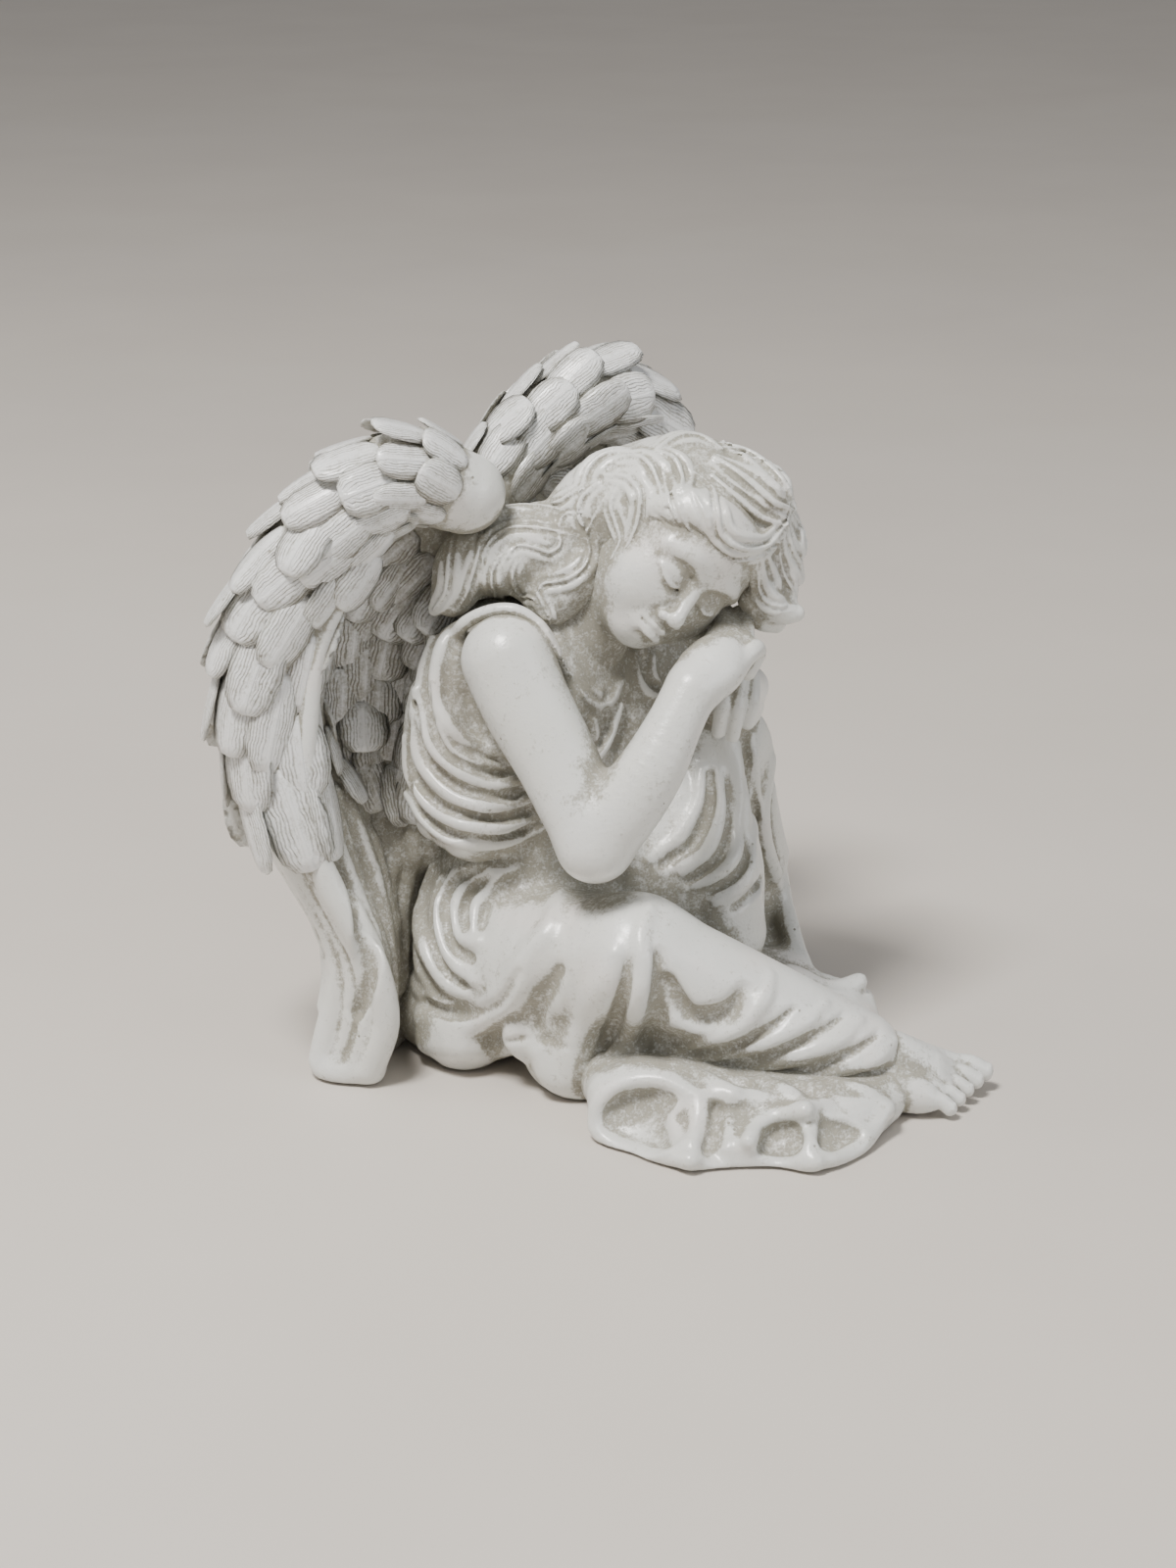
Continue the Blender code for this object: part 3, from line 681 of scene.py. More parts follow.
for marks, radius in (
    ([(-1.2, 64), (-0.8, 60)], (0.6, 0.8)),
    ([(3.4, 69), (3.2, 65), (1.8, 61)], (0.6, 0.9, 0.6)),
    ([(10.6, 79), (11, 76), (12.8, 73.8)], (0.5, 0.8, 0.5)),
    ([(7.4, 72), (7, 68), (5, 62)], (0.7, 1.1, 0.8)),
):
    bodice.crease(marks, radius)
beads = smooth_curve(bodice.drawn([(-7.6, 84.6), (-5.4, 80), (-3, 75.6), (-0.6, 72)], 0.42, sink=-0.2), 5)
for bead in beads:
    bodice.lump(bead[:3], (0.42, 0.42, 0.42), 0.2)
cast("bodice", bodice, "body_casting")

# ---------------------------------------------------------------------------------------------------
# The bare right arm, a casting of its own: bonded in the armhole, its elbow on the thigh and its loose
# fist under the cheek.

arm = Clay((-27, -38, 40), (38, 0, 95), 0.42)
arm.roll([(-15, -10.5, 82.5, 8.7), (-11.5, -14, 75, 8.4), (-6, -19, 66, 7.8), (-1.5, -24, 57.5, 7.2),
          (1.2, -26.6, 52.4, 6.8)], 1)
arm.roll([(1.2, -26.6, 52.4, 6.8), (5.8, -26.2, 57.8, 6.9), (11.4, -24.6, 65.4, 6.2),
          (15.8, -21.6, 73.4, 5.2), (18.8, -18.8, 79, 5.0)], 2.5)
arm.lump((1.6, -27.4, 50.6), (5.2, 5.4, 4.4), 3)
WRIST = np.array([19.4, -18.4, 79.6])
KNUCKLES = np.array([27.6, -9.8, 85.8])
reach = (KNUCKLES - WRIST) / np.linalg.norm(KNUCKLES - WRIST)
palm = np.cross(reach, (0.35, 0.75, -0.55))
palm /= np.linalg.norm(palm)
thick = np.cross(palm, reach)
arm.lump(WRIST + 0.42 * (KNUCKLES - WRIST), (8.2, 6.2, 4.9), 2.5, turn=(reach, palm, thick))
for finger in range(4):
    knuckle = KNUCKLES + (finger - 1.5) * 2.5 * palm + 0.3 * reach
    arm.roll([(*(knuckle - 5 * reach), 1.9), (*knuckle, 1.9), (*(knuckle + 2.4 * thick + 0.8 * reach), 1.7),
              (*(knuckle + 4.6 * thick - 2.2 * reach), 1.5)], 0.8)
arm.roll([(26.5, -9.5, 84.8, 3.0), (26.4, -5.5, 86.6, 2.8), (25.0, -1.0, 88.2, 2.6)], 1.5)
arm.roll([(29.4, -8.5, 85.6, 1.7), (29.6, -5.6, 87.8, 1.5), (28.4, -2.0, 89.2, 1.4)], 0.6)
arm.roll([(20.5, -3, 84.5, 2.6), (24.5, 0.5, 87.5, 3.0)], 1.5)
cast("right_arm", arm, "right_arm_casting")

# ---------------------------------------------------------------------------------------------------
# Three fingers of the left hand, which hang over the raised knee. They are a small casting of cream resin
# of their own, bonded to the end of the sleeve.

hand = Clay((19, -13, 58), (38, 10, 84), 0.3)
hand.roll([(30.5, 4, 72.5, 4.2), (29.5, -1.5, 74.5, 3.6)], 2)
for knuckle, middle, tip, size in (
    ((26.8, -5.2, 76.0), (25.4, -8.0, 72.4), (24.6, -8.2, 67.6), 1.55),
    ((28.9, -4.8, 76.8), (28.1, -8.0, 72.2), (27.3, -8.2, 66.8), 1.6),
    ((31.2, -3.0, 76.6), (31.0, -6.2, 73.0), (30.2, -6.8, 68.8), 1.5),
):
    hand.roll([(*knuckle, size), (*middle, size), (*tip, size * 0.86)], 0.5)
cast("left_hand", hand, "left_hand_casting")

# ---------------------------------------------------------------------------------------------------
# The right foot, a small casting of cream resin bonded into the hem: instep, heel, and five toes with
# their nails.

foot = Clay((46, -42, -2), (81, -12, 18), 0.3)
foot.roll([(52, -26.5, 9.5, 5.6), (58, -26.5, 8.2, 5.2), (64, -26.2, 5.6, 4.4)], 1)
foot.loft([(58, -24, 7, 5), (66, -22.6, 5.2, 3.6), (70.5, -21.8, 4.3, 2.6)],
          [(57, -31, 4.6, 4.6), (62, -32.5, 3.6, 3.6), (64.5, -33.4, 3.1, 2.3)], 6, 2)
for number in range(5):
    share = number / 4
    size = 2.15 - 0.55 * min(1, 2 * share)
    root = np.array([70.2 - 5.8 * share, -21.4 - 12.0 * share, 4.6 - 1.6 * share])
    reach = np.array([5.6 - 2.0 * share, -0.4 - 0.9 * share, -1.2])
    knee = root + 0.55 * reach + [0, 0, 0.7]
    foot.roll([(*root, size), (*knee, size * 0.94), (*(root + reach), size * 0.9)], 0.5)
    foot.lump(root + 1.08 * reach + [0, 0, size * 0.62], (size * 0.62, size * 0.55, size * 0.26), 0.2)
foot.grind(0.1)
cast("right_foot", foot, "right_foot_casting")

# ---------------------------------------------------------------------------------------------------
# The head, one casting with the hair and neck: a calm, plain face with its eyes closed, tilted on the fist.
# The skull was modelled first, then the features laid on and pressed in, the same on both sides.

HEAD_MIDDLE = np.array([15.7, 1.3, 100.5])
FORWARD = np.array([0.31, -0.917, -0.242])
UPWARD = np.array([0.70, 0.049, 0.694])
FORWARD = FORWARD / np.linalg.norm(FORWARD)
UPWARD = UPWARD - (UPWARD @ FORWARD) * FORWARD
UPWARD = UPWARD / np.linalg.norm(UPWARD)
SIDEWARD = np.cross(FORWARD, UPWARD)
HEAD_TURN = (SIDEWARD, FORWARD, UPWARD)


def on_head(side, out, up, *radius):
    """A place on the head: sideways towards its left, out of the face, and up to the crown."""
    return (*(HEAD_MIDDLE + side * SIDEWARD + out * FORWARD + up * UPWARD), *radius)


face = Clay((-10, -21, 74), (40, 22, 124), 0.34)


def face_lump(side, out, up, radii, blend, carve=False):
    """A lump on both sides of the face, or one in the middle."""
    for mirrored in {side, -side}:
        face.lump(on_head(mirrored, out, up), radii, blend, carve, HEAD_TURN)


def face_roll(marks, blend, carve=False, both=True):
    """A roll of (side, out, up, radius) marks, on both sides of the face unless it is told otherwise."""
    for flip in (1, -1) if both else (1,):
        face.roll([on_head(flip * side, out, up, radius) for side, out, up, radius in marks], blend, carve)


face_lump(0, -1, 4, (14.3, 16.4, 15.6), 0)
face_lump(0, 3.2, -3.6, (11.8, 12.0, 14.6), 3)
face_lump(0, 8.6, -14.0, (4.6, 4.2, 3.8), 4)
face_lump(5.8, 9.0, -6.2, (4.5, 3.8, 4.8), 4.5)
face_lump(0, 5.6, 7, (11, 9.4, 8), 4)
face_lump(5.0, 16.8, -0.7, (3.8, 2.6, 2.6), 3.2, carve=True)
face_lump(4.8, 12.4, -1.2, (3.3, 2.4, 2.4), 1.6)
face_roll([(1.9, 14.4, 2.5, 0.4), (5.6, 14.6, 3.7, 0.45), (9.6, 11.8, 2.2, 0.3)], 3.0)
face_roll([(2.0, 13.9, -1.7, 0.3), (3.4, 14.5, -2.5, 0.42), (5.0, 14.8, -2.8, 0.46),
           (6.7, 14.4, -2.4, 0.42), (8.4, 13.1, -1.3, 0.3)], 0.5)
face_roll([(2.0, 13.8, -2.3, 0.25), (3.4, 14.5, -3.2, 0.32), (5.0, 14.7, -3.6, 0.34),
           (6.8, 14.3, -3.1, 0.32), (8.6, 13.0, -1.9, 0.25)], 0.4, carve=True)
face_roll([(2.3, 14.4, 0.6, 0.22), (4.8, 15.3, 1.5, 0.28), (7.9, 13.9, 0.7, 0.22)], 0.8, carve=True)
face_roll([(0, 13.9, 1.0, 1.0), (0, 15.8, -3.2, 1.1), (0, 17.1, -6.4, 1.35)], 1.8, both=False)
face_lump(0, 16.9, -7.1, (1.5, 1.4, 1.35), 1.0)
face_lump(1.7, 15.5, -7.7, (1.15, 1.4, 1.0), 0.7)
face_lump(0.85, 16.6, -8.9, (0.45, 0.6, 0.45), 0.4, carve=True)
face_lump(0, 12.6, -11.4, (3.9, 3.0, 2.9), 2.2)
face_roll([(0, 15.2, -10.7, 0.62), (1.3, 15.3, -10.5, 0.66), (3.3, 13.7, -11.2, 0.35)], 0.5)
face_roll([(0, 15.0, -12.4, 0.95), (1.4, 14.8, -12.3, 0.85), (3.0, 13.7, -11.5, 0.35)], 0.5)
face_roll([(0, 16.1, -11.35, 0.22), (1.4, 15.9, -11.25, 0.22), (3.5, 14.1, -11.2, 0.26)], 0.3, carve=True)
face_roll([(0, 14.8, -14.0, 0.5), (1.6, 14.2, -13.9, 0.5)], 1.4, carve=True)
face.roll([(8, 3, 96, 8.8), (3, 3.4, 89, 7.8), (-1, 4, 82, 8.4)], 3)
cast("face", face, "head_casting")

# ---------------------------------------------------------------------------------------------------
# The hair: a cap of clay over the skull, with combed locks laid on it strand by strand.
# It parts above the brow, sweeps over the forehead, and falls in waves on the near shoulder.

hair = Clay((-36, -20, 78), (48, 30, 126), 0.4)
wig = Clay((-36, -22, 78), (48, 30, 126), 0.7)


def hair_mass(*args, **named):
    """Clay for the hair, also on the block that the locks are laid out on."""
    for clay in (hair, wig):
        clay.roll(*args, **named)


for clay in (hair, wig):
    clay.lump(on_head(0, -4.6, 4.6), (16.0, 16.2, 16.6), 0, turn=HEAD_TURN)
wig.lump(on_head(0, 3.2, -3.6), (11.8, 12.0, 14.6), 3, turn=HEAD_TURN)
wig.lump(on_head(0, 5.6, 7), (11, 9.4, 8), 4, turn=HEAD_TURN)
hair_mass([(29.5, 3, 107, 9.8), (35, 1, 99, 4.8), (36.3, -1, 92, 3.2)], 3)
hair_mass([(32.5, -4, 98, 3.0), (33.8, -5, 93, 2.6), (36.2, -5, 90, 2.2), (39, -4, 89.6, 1.7)], 1.5)
hair_mass([(31, -3, 92, 3.0), (32.6, -3, 88.4, 2.4), (35.4, -2, 87, 1.9)], 1.5)
hair_mass([(12, 4, 110, 10), (4, 6, 108, 9.5), (-4, 5, 102.5, 7.5), (-14, 3, 99, 7.5), (-22, 1.5, 98, 6.5),
           (-25.5, 0, 92, 4.2)], 4)
hair_mass([(12, 12, 101, 12), (2, 14, 94, 10), (-9, 14, 88, 8)], 4)
hair_mass([(-2, 0, 96, 6), (-7, -1, 91, 5)], 3)
hair_mass([on_head(12.5, 3.0, 3.0, 3.0), on_head(10.5, 7.5, 8.5, 3.8), on_head(6, 10.5, 11.0, 4.2),
           on_head(0, 11.6, 11.0, 4.4), on_head(-6, 9.6, 10.5, 4.2), on_head(-11, 5, 8.0, 4.0),
           on_head(-13.5, 0, 3, 3.6)], 1.2)


def lock(marks, width, strands, radius=0.85, side=0.0, bulge=0.55):
    """A lock: strands side by side along some marks, gathered at both ends, and higher in the middle."""
    middle = smooth_curve(wig.drawn(marks, radius, sink=0.0, side=side), 4)
    path = middle[:, :3]
    along = np.gradient(path, axis=0)
    out = wig.outward(path)
    across = np.cross(along, out)
    across /= np.maximum(np.linalg.norm(across, axis=1, keepdims=True), 1e-6)
    share = np.linspace(0, 1, len(path))
    spread = width * np.sin(math.pi * np.clip(0.12 + 0.8 * share, 0, 1)) ** 0.7
    size = radius * (0.65 + 0.5 * np.sin(math.pi * share))
    paths, grooves = [], []
    pitch = 1.0 / max(strands - 1, 1)
    for number in range(2 * strands - 1):
        place = number * pitch / 2 - 0.5
        lift = bulge * width * (0.25 - place**2)
        strand = path + across * (place * spread)[:, None]
        if number % 2:
            grooves.append(np.column_stack([strand + out * (lift + 0.45 * radius), 0.42 * size]))
        else:
            paths.append(np.column_stack([strand + out * (lift - 0.35 * radius), size]))
    hair.rods(paths, 0.45)
    hair.rods(grooves, 0.25, carve=True)


front_locks = (
    ([(25.5, 120.5), (30.5, 118), (35.5, 113.5), (38, 109)], 5.5, 3),
    ([(23.5, 118), (29, 114), (34, 110), (37.8, 108.2)], 5.5, 3),
    ([(23, 114.5), (27, 110.5), (32, 107), (36.8, 105.5)], 5.5, 3),
    ([(19.5, 112), (21.5, 108.5), (23, 105.5), (25, 102.5)], 3.2, 3),
    ([(18, 116.5), (22.5, 113), (24, 108.5), (25, 104), (28.5, 101.5), (33, 101.5), (36, 105),
      (37.5, 109)], 3.6, 3),
    ([(16.5, 112.5), (17.5, 108), (20, 104), (23, 100.8), (27, 99.2), (32, 99.7), (36, 102.5)], 2.8, 3),
    ([(11.5, 108.7), (14.2, 107), (16.7, 103.8), (20.2, 100.4), (25, 98.4), (29.5, 98)], 1.5, 2),
    ([(13, 120), (16.5, 122), (20.5, 122), (24.5, 120)], 4.0, 3),
    ([(13, 119.5), (16, 118), (17.5, 114.5), (17.5, 112.5)], 3.6, 3),
    ([(10, 119.5), (12.5, 117), (14, 114), (16, 108.5), (18, 105)], 3.0, 3),
    ([(4.5, 118), (9, 118.5), (11.5, 117), (13, 114), (14.5, 109.5)], 3.4, 3),
    ([(-1, 112), (0.5, 116), (3.5, 118.5), (7.5, 119.5)], 4.5, 3),
    ([(3.5, 115), (7.5, 114.5), (10, 111), (9.5, 106), (8, 102), (5.6, 98)], 3.4, 3),
    ([(31.5, 98.5), (32.2, 94), (33.6, 91), (36, 89.8), (38.6, 89.8)], 2.6, 3),
    ([(33, 100), (34, 96), (35.4, 93.2), (37.4, 92)], 2.4, 2),
    ([(35.5, 102), (36, 97), (38, 93.5), (39, 91.2)], 3.0, 3),
    ([(37, 105.5), (38, 101), (39.6, 97.5), (40.2, 94.5)], 3.2, 3),
    ([(37.5, 108.5), (39.3, 105.5), (40.2, 102.5), (40.6, 100)], 2.8, 3),
    ([(31, 91.5), (32.4, 88.4), (34.6, 87.4)], 2.0, 2),
    ([(2, 113.5), (-1, 110.5), (-1.4, 107), (0.4, 104), (0.4, 100.5)], 3.4, 3),
    ([(6, 113), (4.5, 109.5), (5.6, 106), (6.4, 102.5), (4.6, 99)], 3.2, 3),
    ([(-1, 113), (-4, 110.6), (-6.5, 109.4), (-10, 109.4)], 3.0, 3),
    ([(3, 110), (1.3, 107), (-0.2, 104), (0.3, 101), (-0.4, 98), (-3, 95.6), (-5.8, 94.6), (-8.4, 94),
      (-9.2, 91.8), (-8, 89.2), (-7.2, 86.6), (-8.4, 84.6)], 2.8, 3),
    ([(-1, 108), (-4.2, 107.6), (-5.4, 104.8), (-5.2, 101.8), (-7.2, 100.4), (-10, 101.2), (-13.4, 101.4),
      (-15.6, 98.6), (-17, 94.5)], 2.8, 3),
    ([(-23, 107), (-25, 103.5), (-26, 98), (-26.6, 93), (-28.4, 90), (-29.6, 88.6)], 3.0, 3),
    ([(-19.6, 106), (-20.5, 100.5), (-22, 95.5), (-23.4, 91.5), (-25.2, 89)], 2.8, 3),
    ([(-15.5, 101), (-18, 96.8), (-17.8, 93), (-16.4, 90.5)], 2.4, 3),
    ([(-11.6, 100), (-13.8, 97.5), (-14.3, 94.4), (-12.4, 92), (-10, 91.2), (-8.6, 88.4)], 2.4, 3),
    ([(-5, 108.6), (-11, 108.8), (-17, 108), (-21.5, 105.5)], 3.4, 3),
    ([(-2, 103.5), (-8.5, 104.8), (-15, 104.6), (-19, 101.5), (-20, 96.5)], 2.8, 3),
)
for marks, width, strands in front_locks:
    lock(marks, width, strands, radius=max(0.8, 0.25 * width))
for side in (105, 145, 185):
    sweep, turn = math.cos(math.radians(side)), math.sin(math.radians(side))
    top, low = 26 * sweep + 6 * turn, 6 * sweep + 9 * turn
    for step in (-2, -1, 0, 1, 2):
        lock([(top + 1.8 * step, 113 - 0.5 * step**2),
              (0.6 * top + 0.4 * low + 4.0 * step, 107.5 - 0.4 * step**2),
              (0.25 * top + 0.75 * low + 4.6 * step, 100), (low + 3.4 * step, 92.5)], 4.2, 3, side=side)
cast("hair", hair, "head_casting")

# ---------------------------------------------------------------------------------------------------
# The right wing's core: a thick rolled leading edge that turns over at the top and runs down in an S to a
# flared foot, with a thin hollowed web behind it. A casting of its own, bonded to the back.

RIGHT_EDGE = [(-23, -1, 112, 6.9), (-34, -5, 116, 8.0), (-46, -8, 108, 8.0), (-56, -10, 94, 8.0),
              (-60, -11, 76, 7.8), (-57.5, -12, 58, 6.8), (-54.8, -13, 46, 4.4), (-47.2, -14, 25, 2.4),
              (-50.8, -15, 3, 2.6)]
RIGHT_HOLLOW = [(-25, 8, 108, 3.2), (-34, 8, 108, 3.2), (-45, 6, 100, 3.2), (-52, 6, 88, 3.2),
                (-54, 5, 72, 3.2), (-52, 4, 56, 3.2), (-46, 2, 40, 3.2), (-42, -1, 22, 3.2),
                (-41, -3, 2, 3.2)]
RIGHT_ROOT = [(-20, 12, 100, 3.4), (-24, 13, 92, 3.4), (-28, 13, 84, 3.4), (-31, 13, 76, 3.4),
              (-33, 12, 66, 3.4), (-34, 11, 52, 3.4), (-35, 9, 38, 3.4), (-36, 7, 22, 3.4),
              (-36, 5, 2, 3.4)]
WING_GRAIN = 0.5


def wing_core(low, high, edge, hollow, root, pad):
    """The plain mass of a wing: its rolled edge, its web, and the pad that is bonded to the back."""
    wing = Clay(low, high, WING_GRAIN)
    wing.roll(edge, 0)
    wing.loft(edge, hollow, 6, 3)
    wing.loft(hollow, root, 9, 3)
    wing.roll(pad, 3)
    return wing


def quills(wing, first, second, shares, span, radius, shift):
    """Long flight feathers: ridges that run on down the wing, side by side, between two of its curves."""
    first, second = smooth_curve(first, 4), smooth_curve(second, 4)
    start, stop = (int(round(end * (len(first) - 1))) for end in span)
    for number, share in enumerate(shares):
        begin = start + 2 * (number % 2)
        path = (first + (second - first) * share)[begin:stop]
        places = path[:, :3] + np.array(shift)
        for _ in range(3):
            places = places - wing.depth(places)[:, None] * wing.outward(places)
        along = np.linspace(0, 1, len(path))
        size = radius * (0.45 + 0.75 * np.sin(math.pi * np.clip(0.1 + along * 0.75, 0, 1)))
        wing.rods([np.column_stack([places - wing.outward(places) * (size * 0.35)[:, None], size])], 0.4)


right_wing = wing_core((-74, -30, -2), (-10, 26, 129), RIGHT_EDGE, RIGHT_HOLLOW, RIGHT_ROOT,
                       [(-27, 12, 86, 6), (-28, 11, 66, 7), (-31, 9, 40, 7)])
# The inner lip of the rolled edge, and the foot.
FOOT_OUTER = [(-60, -13, 54, 2.2), (-55, -14, 43, 2.4), (-50.5, -14.5, 33, 2.2), (-47.2, -15, 24, 2.2),
              (-48.5, -15.5, 12, 2.2), (-51, -15.5, 3, 2.4)]
FOOT_INNER = [(-52, -18, 54, 1.8), (-49.5, -19, 43, 2.2), (-44.5, -20, 33, 2.3), (-40.2, -20.5, 24, 2.3),
              (-38.6, -20.5, 13, 2.3), (-42, -19.5, 3, 2.6)]
FOOT_BACK = [(-47, 3, 54, 2.6), (-46, 2, 43, 2.6), (-44, 1, 33, 2.6), (-42, -1, 24, 2.6),
             (-41.5, -2, 13, 2.6), (-41, -3, 3, 2.6)]
right_wing.roll([(-27, -2, 110, 1.0), (-35, -7, 107.5, 1.6), (-44, -12, 98, 2.0), (-50, -15, 86, 2.0),
                 (-52, -17, 72, 2.0), (-52.5, -18, 60, 1.8), (-51, -18.5, 50, 1.8)], 1.0)
right_wing.loft(FOOT_OUTER, FOOT_INNER, 4, 1.0)
right_wing.loft(FOOT_INNER, FOOT_BACK, 6, 1.5)
right_wing.crease([(-52.5, 47), (-47.5, 36), (-43.8, 26), (-43.6, 14), (-45.5, 6)],
                  (1.5, 2.4, 2.6, 2.4, 1.2), blend=1.4)
right_wing.lump((-46, -17, 1.5), (6.5, 4.0, 2.8), 2.5)
quills(right_wing, RIGHT_HOLLOW, RIGHT_ROOT, (0.0, 0.22, 0.44, 0.66, 0.88), (0.5, 0.97), 2.1, (2, -6, 0))
quills(right_wing, RIGHT_EDGE, RIGHT_HOLLOW, (0.3, 0.55, 0.8), (0.58, 0.97), 1.8, (5, -4, 0))
quills(right_wing, RIGHT_HOLLOW, RIGHT_ROOT, (0.05, 0.28, 0.51, 0.74), (0.5, 0.97), 2.3, (-3, 6, 0))
quills(right_wing, RIGHT_EDGE, RIGHT_HOLLOW, (0.0, 0.35, 0.7), (0.56, 0.97), 2.0, (-6, 3, 0))
right_wing.grind(0.15)
cast("right_wing_core", right_wing, "right_wing_casting")

# ---------------------------------------------------------------------------------------------------
# The right wing's feathers, cast in one with it: each a rounded leaf with a raised quill, laid like tiles
# with its tip over the next one's root, in rows round the rolled edge and down both faces of the web.


feather_paint = bpy.data.materials.new("feather_resin")
FEATHER_INPUTS = {
    "Quill Height": ("NodeSocketFloat", 0.28),
    "Notch Depth": ("NodeSocketFloat", 0.07),
    "Notches": ("NodeSocketFloat", 5.0),
    "Seed": ("NodeSocketInt", 3),
    "Material": ("NodeSocketMaterial", feather_paint),
}


def feather_tree():
    """One leaf, made from a ball and set on every point, turned and sized by the point's own attributes."""
    tree = bpy.data.node_groups.new("feathers", "GeometryNodeTree")
    sockets = tree.interface
    sockets.new_socket(name="Points", in_out="INPUT", socket_type="NodeSocketGeometry")
    for name, (kind, _) in FEATHER_INPUTS.items():
        sockets.new_socket(name=name, in_out="INPUT", socket_type=kind)
    sockets.new_socket(name="Feathers", in_out="OUTPUT", socket_type="NodeSocketGeometry")
    given = tree.nodes.new("NodeGroupInput")
    entry = {socket.name: Socket(tree, socket) for socket in given.outputs if socket.name}
    ball = shade(tree, "GeometryNodeMeshUVSphere", {}, Segments=8, Rings=8, Radius=1.0)
    spot = shade(tree, "GeometryNodeInputPosition", {})
    x, y, z = (shade(tree, "ShaderNodeSeparateXYZ", {}, spot, out=axis) for axis in range(3))
    along = z * 0.5 + 0.5
    girth = x.math("MAXIMUM", 1.0 - z * z, 0.02)
    size = (x.math("ABSOLUTE", x) / girth ** 0.5).clamp() ** 1.5
    dome = (y / girth ** 0.5).clamp() ** 0.5 * girth ** 0.3
    ripple = x.math("SINE", along * entry["Notches"] * math.tau)
    notch = 1.0 - entry["Notch Depth"] * ripple.math("ABSOLUTE", along)
    across = x.math("SIGN", x) * size * girth ** 0.36 * (along * 0.2 + 0.8)
    middle = (1.0 - size * 5.0).clamp()
    height = dome + middle * entry["Quill Height"] * y.math("GREATER_THAN", y, 0.3)
    height = height + y.math("MINIMUM", y, 0.0) * 0.4
    leaf = shade(tree, "ShaderNodeCombineXYZ", {}, across * notch, along, height)
    leaf = shade(tree, "GeometryNodeSetPosition", {}, Geometry=ball, Position=leaf)
    leaf = shade(tree, "GeometryNodeFlipFaces", {}, Mesh=leaf)
    grain = shade(tree, "ShaderNodeCombineXYZ", {}, x.math("SIGN", x) * size, along, y)
    leaf = shade(tree, "GeometryNodeStoreNamedAttribute", {"data_type": "FLOAT_VECTOR", "domain": "POINT"},
                 Geometry=leaf, Name="barb", Value=grain)
    turn = shade(tree, "GeometryNodeInputNamedAttribute", {"data_type": "QUATERNION"}, Name="turn")
    scale = shade(tree, "GeometryNodeInputNamedAttribute", {"data_type": "FLOAT_VECTOR"}, Name="size")
    laid = shade(tree, "GeometryNodeInstanceOnPoints", {}, Points=entry["Points"], Instance=leaf,
                 Rotation=turn, Scale=scale)
    dice = shade(tree, "FunctionNodeRandomValue", {"data_type": "FLOAT"}, out=1, Seed=entry["Seed"])
    laid = shade(tree, "GeometryNodeStoreNamedAttribute", {"data_type": "FLOAT", "domain": "INSTANCE"},
                 Geometry=laid, Name="tuft", Value=dice)
    made = shade(tree, "GeometryNodeRealizeInstances", {}, laid)
    made = shade(tree, "GeometryNodeSetShadeSmooth", {}, made)
    made = shade(tree, "GeometryNodeSetMaterial", {}, Geometry=made, Material=entry["Material"])
    result = tree.nodes.new("NodeGroupOutput")
    tree.links.new(made.socket, result.inputs[0])
    return tree


feathers = feather_tree()
plumes = []
feather_dice = np.random.default_rng(11)


def plumage(name, wing, spots, node):
    """Lays feathers on a wing. A spot is a place near the surface, the way the feather points, its width,
    length and thickness, and how many degrees its tip is lifted."""
    places, along, sizes, lift = (np.array(column, float) for column in zip(*spots))
    for _ in range(4):
        places = places - wing.depth(places)[:, None] * wing.outward(places)
    out = wing.outward(places)
    along = along + feather_dice.normal(0, 0.10, along.shape)
    along -= (along * out).sum(1, keepdims=True) * out
    along /= np.linalg.norm(along, axis=1, keepdims=True)
    angle = np.radians(lift + feather_dice.normal(0, 1.5, len(lift)))[:, None]
    lean = along * np.cos(angle) + out * np.sin(angle)
    top = out * np.cos(angle) - along * np.sin(angle)
    across = np.cross(lean, top)
    turns = [Matrix(axes).transposed().to_quaternion() for axes in np.stack([across, lean, top], 1)]
    sizes = sizes * (1 + feather_dice.normal(0, 0.09, sizes.shape))
    places = (places - out * 0.25 * sizes[:, 2:]) * MM
    sizes = sizes * (0.5 * MM, MM, MM)
    mesh = bpy.data.meshes.new(name)
    mesh.from_pydata(places, [], [])
    mesh.attributes.new("turn", "QUATERNION", "POINT").data.foreach_set("value", np.array(turns).ravel())
    mesh.attributes.new("size", "FLOAT_VECTOR", "POINT").data.foreach_set("vector", np.array(sizes).ravel())
    grower = bpy.data.objects.new(name + "_points", mesh)
    bpy.context.scene.collection.objects.link(grower)
    modifier = grower.modifiers.new("feathers", "NODES")
    modifier.node_group = feathers
    inputs = {item.name: item.identifier for item in feathers.interface.items_tree if item.in_out == "INPUT"}
    for label, (_, value) in FEATHER_INPUTS.items():
        modifier[inputs[label]] = value
    evaluated = grower.evaluated_get(bpy.context.evaluated_depsgraph_get())
    piece = bpy.data.objects.new(name, bpy.data.meshes.new_from_object(evaluated))
    bpy.context.scene.collection.objects.link(piece)
    bpy.data.objects.remove(grower)
    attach(piece, "root")
    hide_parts(node)
    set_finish(piece, "cream_resin")
    plumes.append(piece)


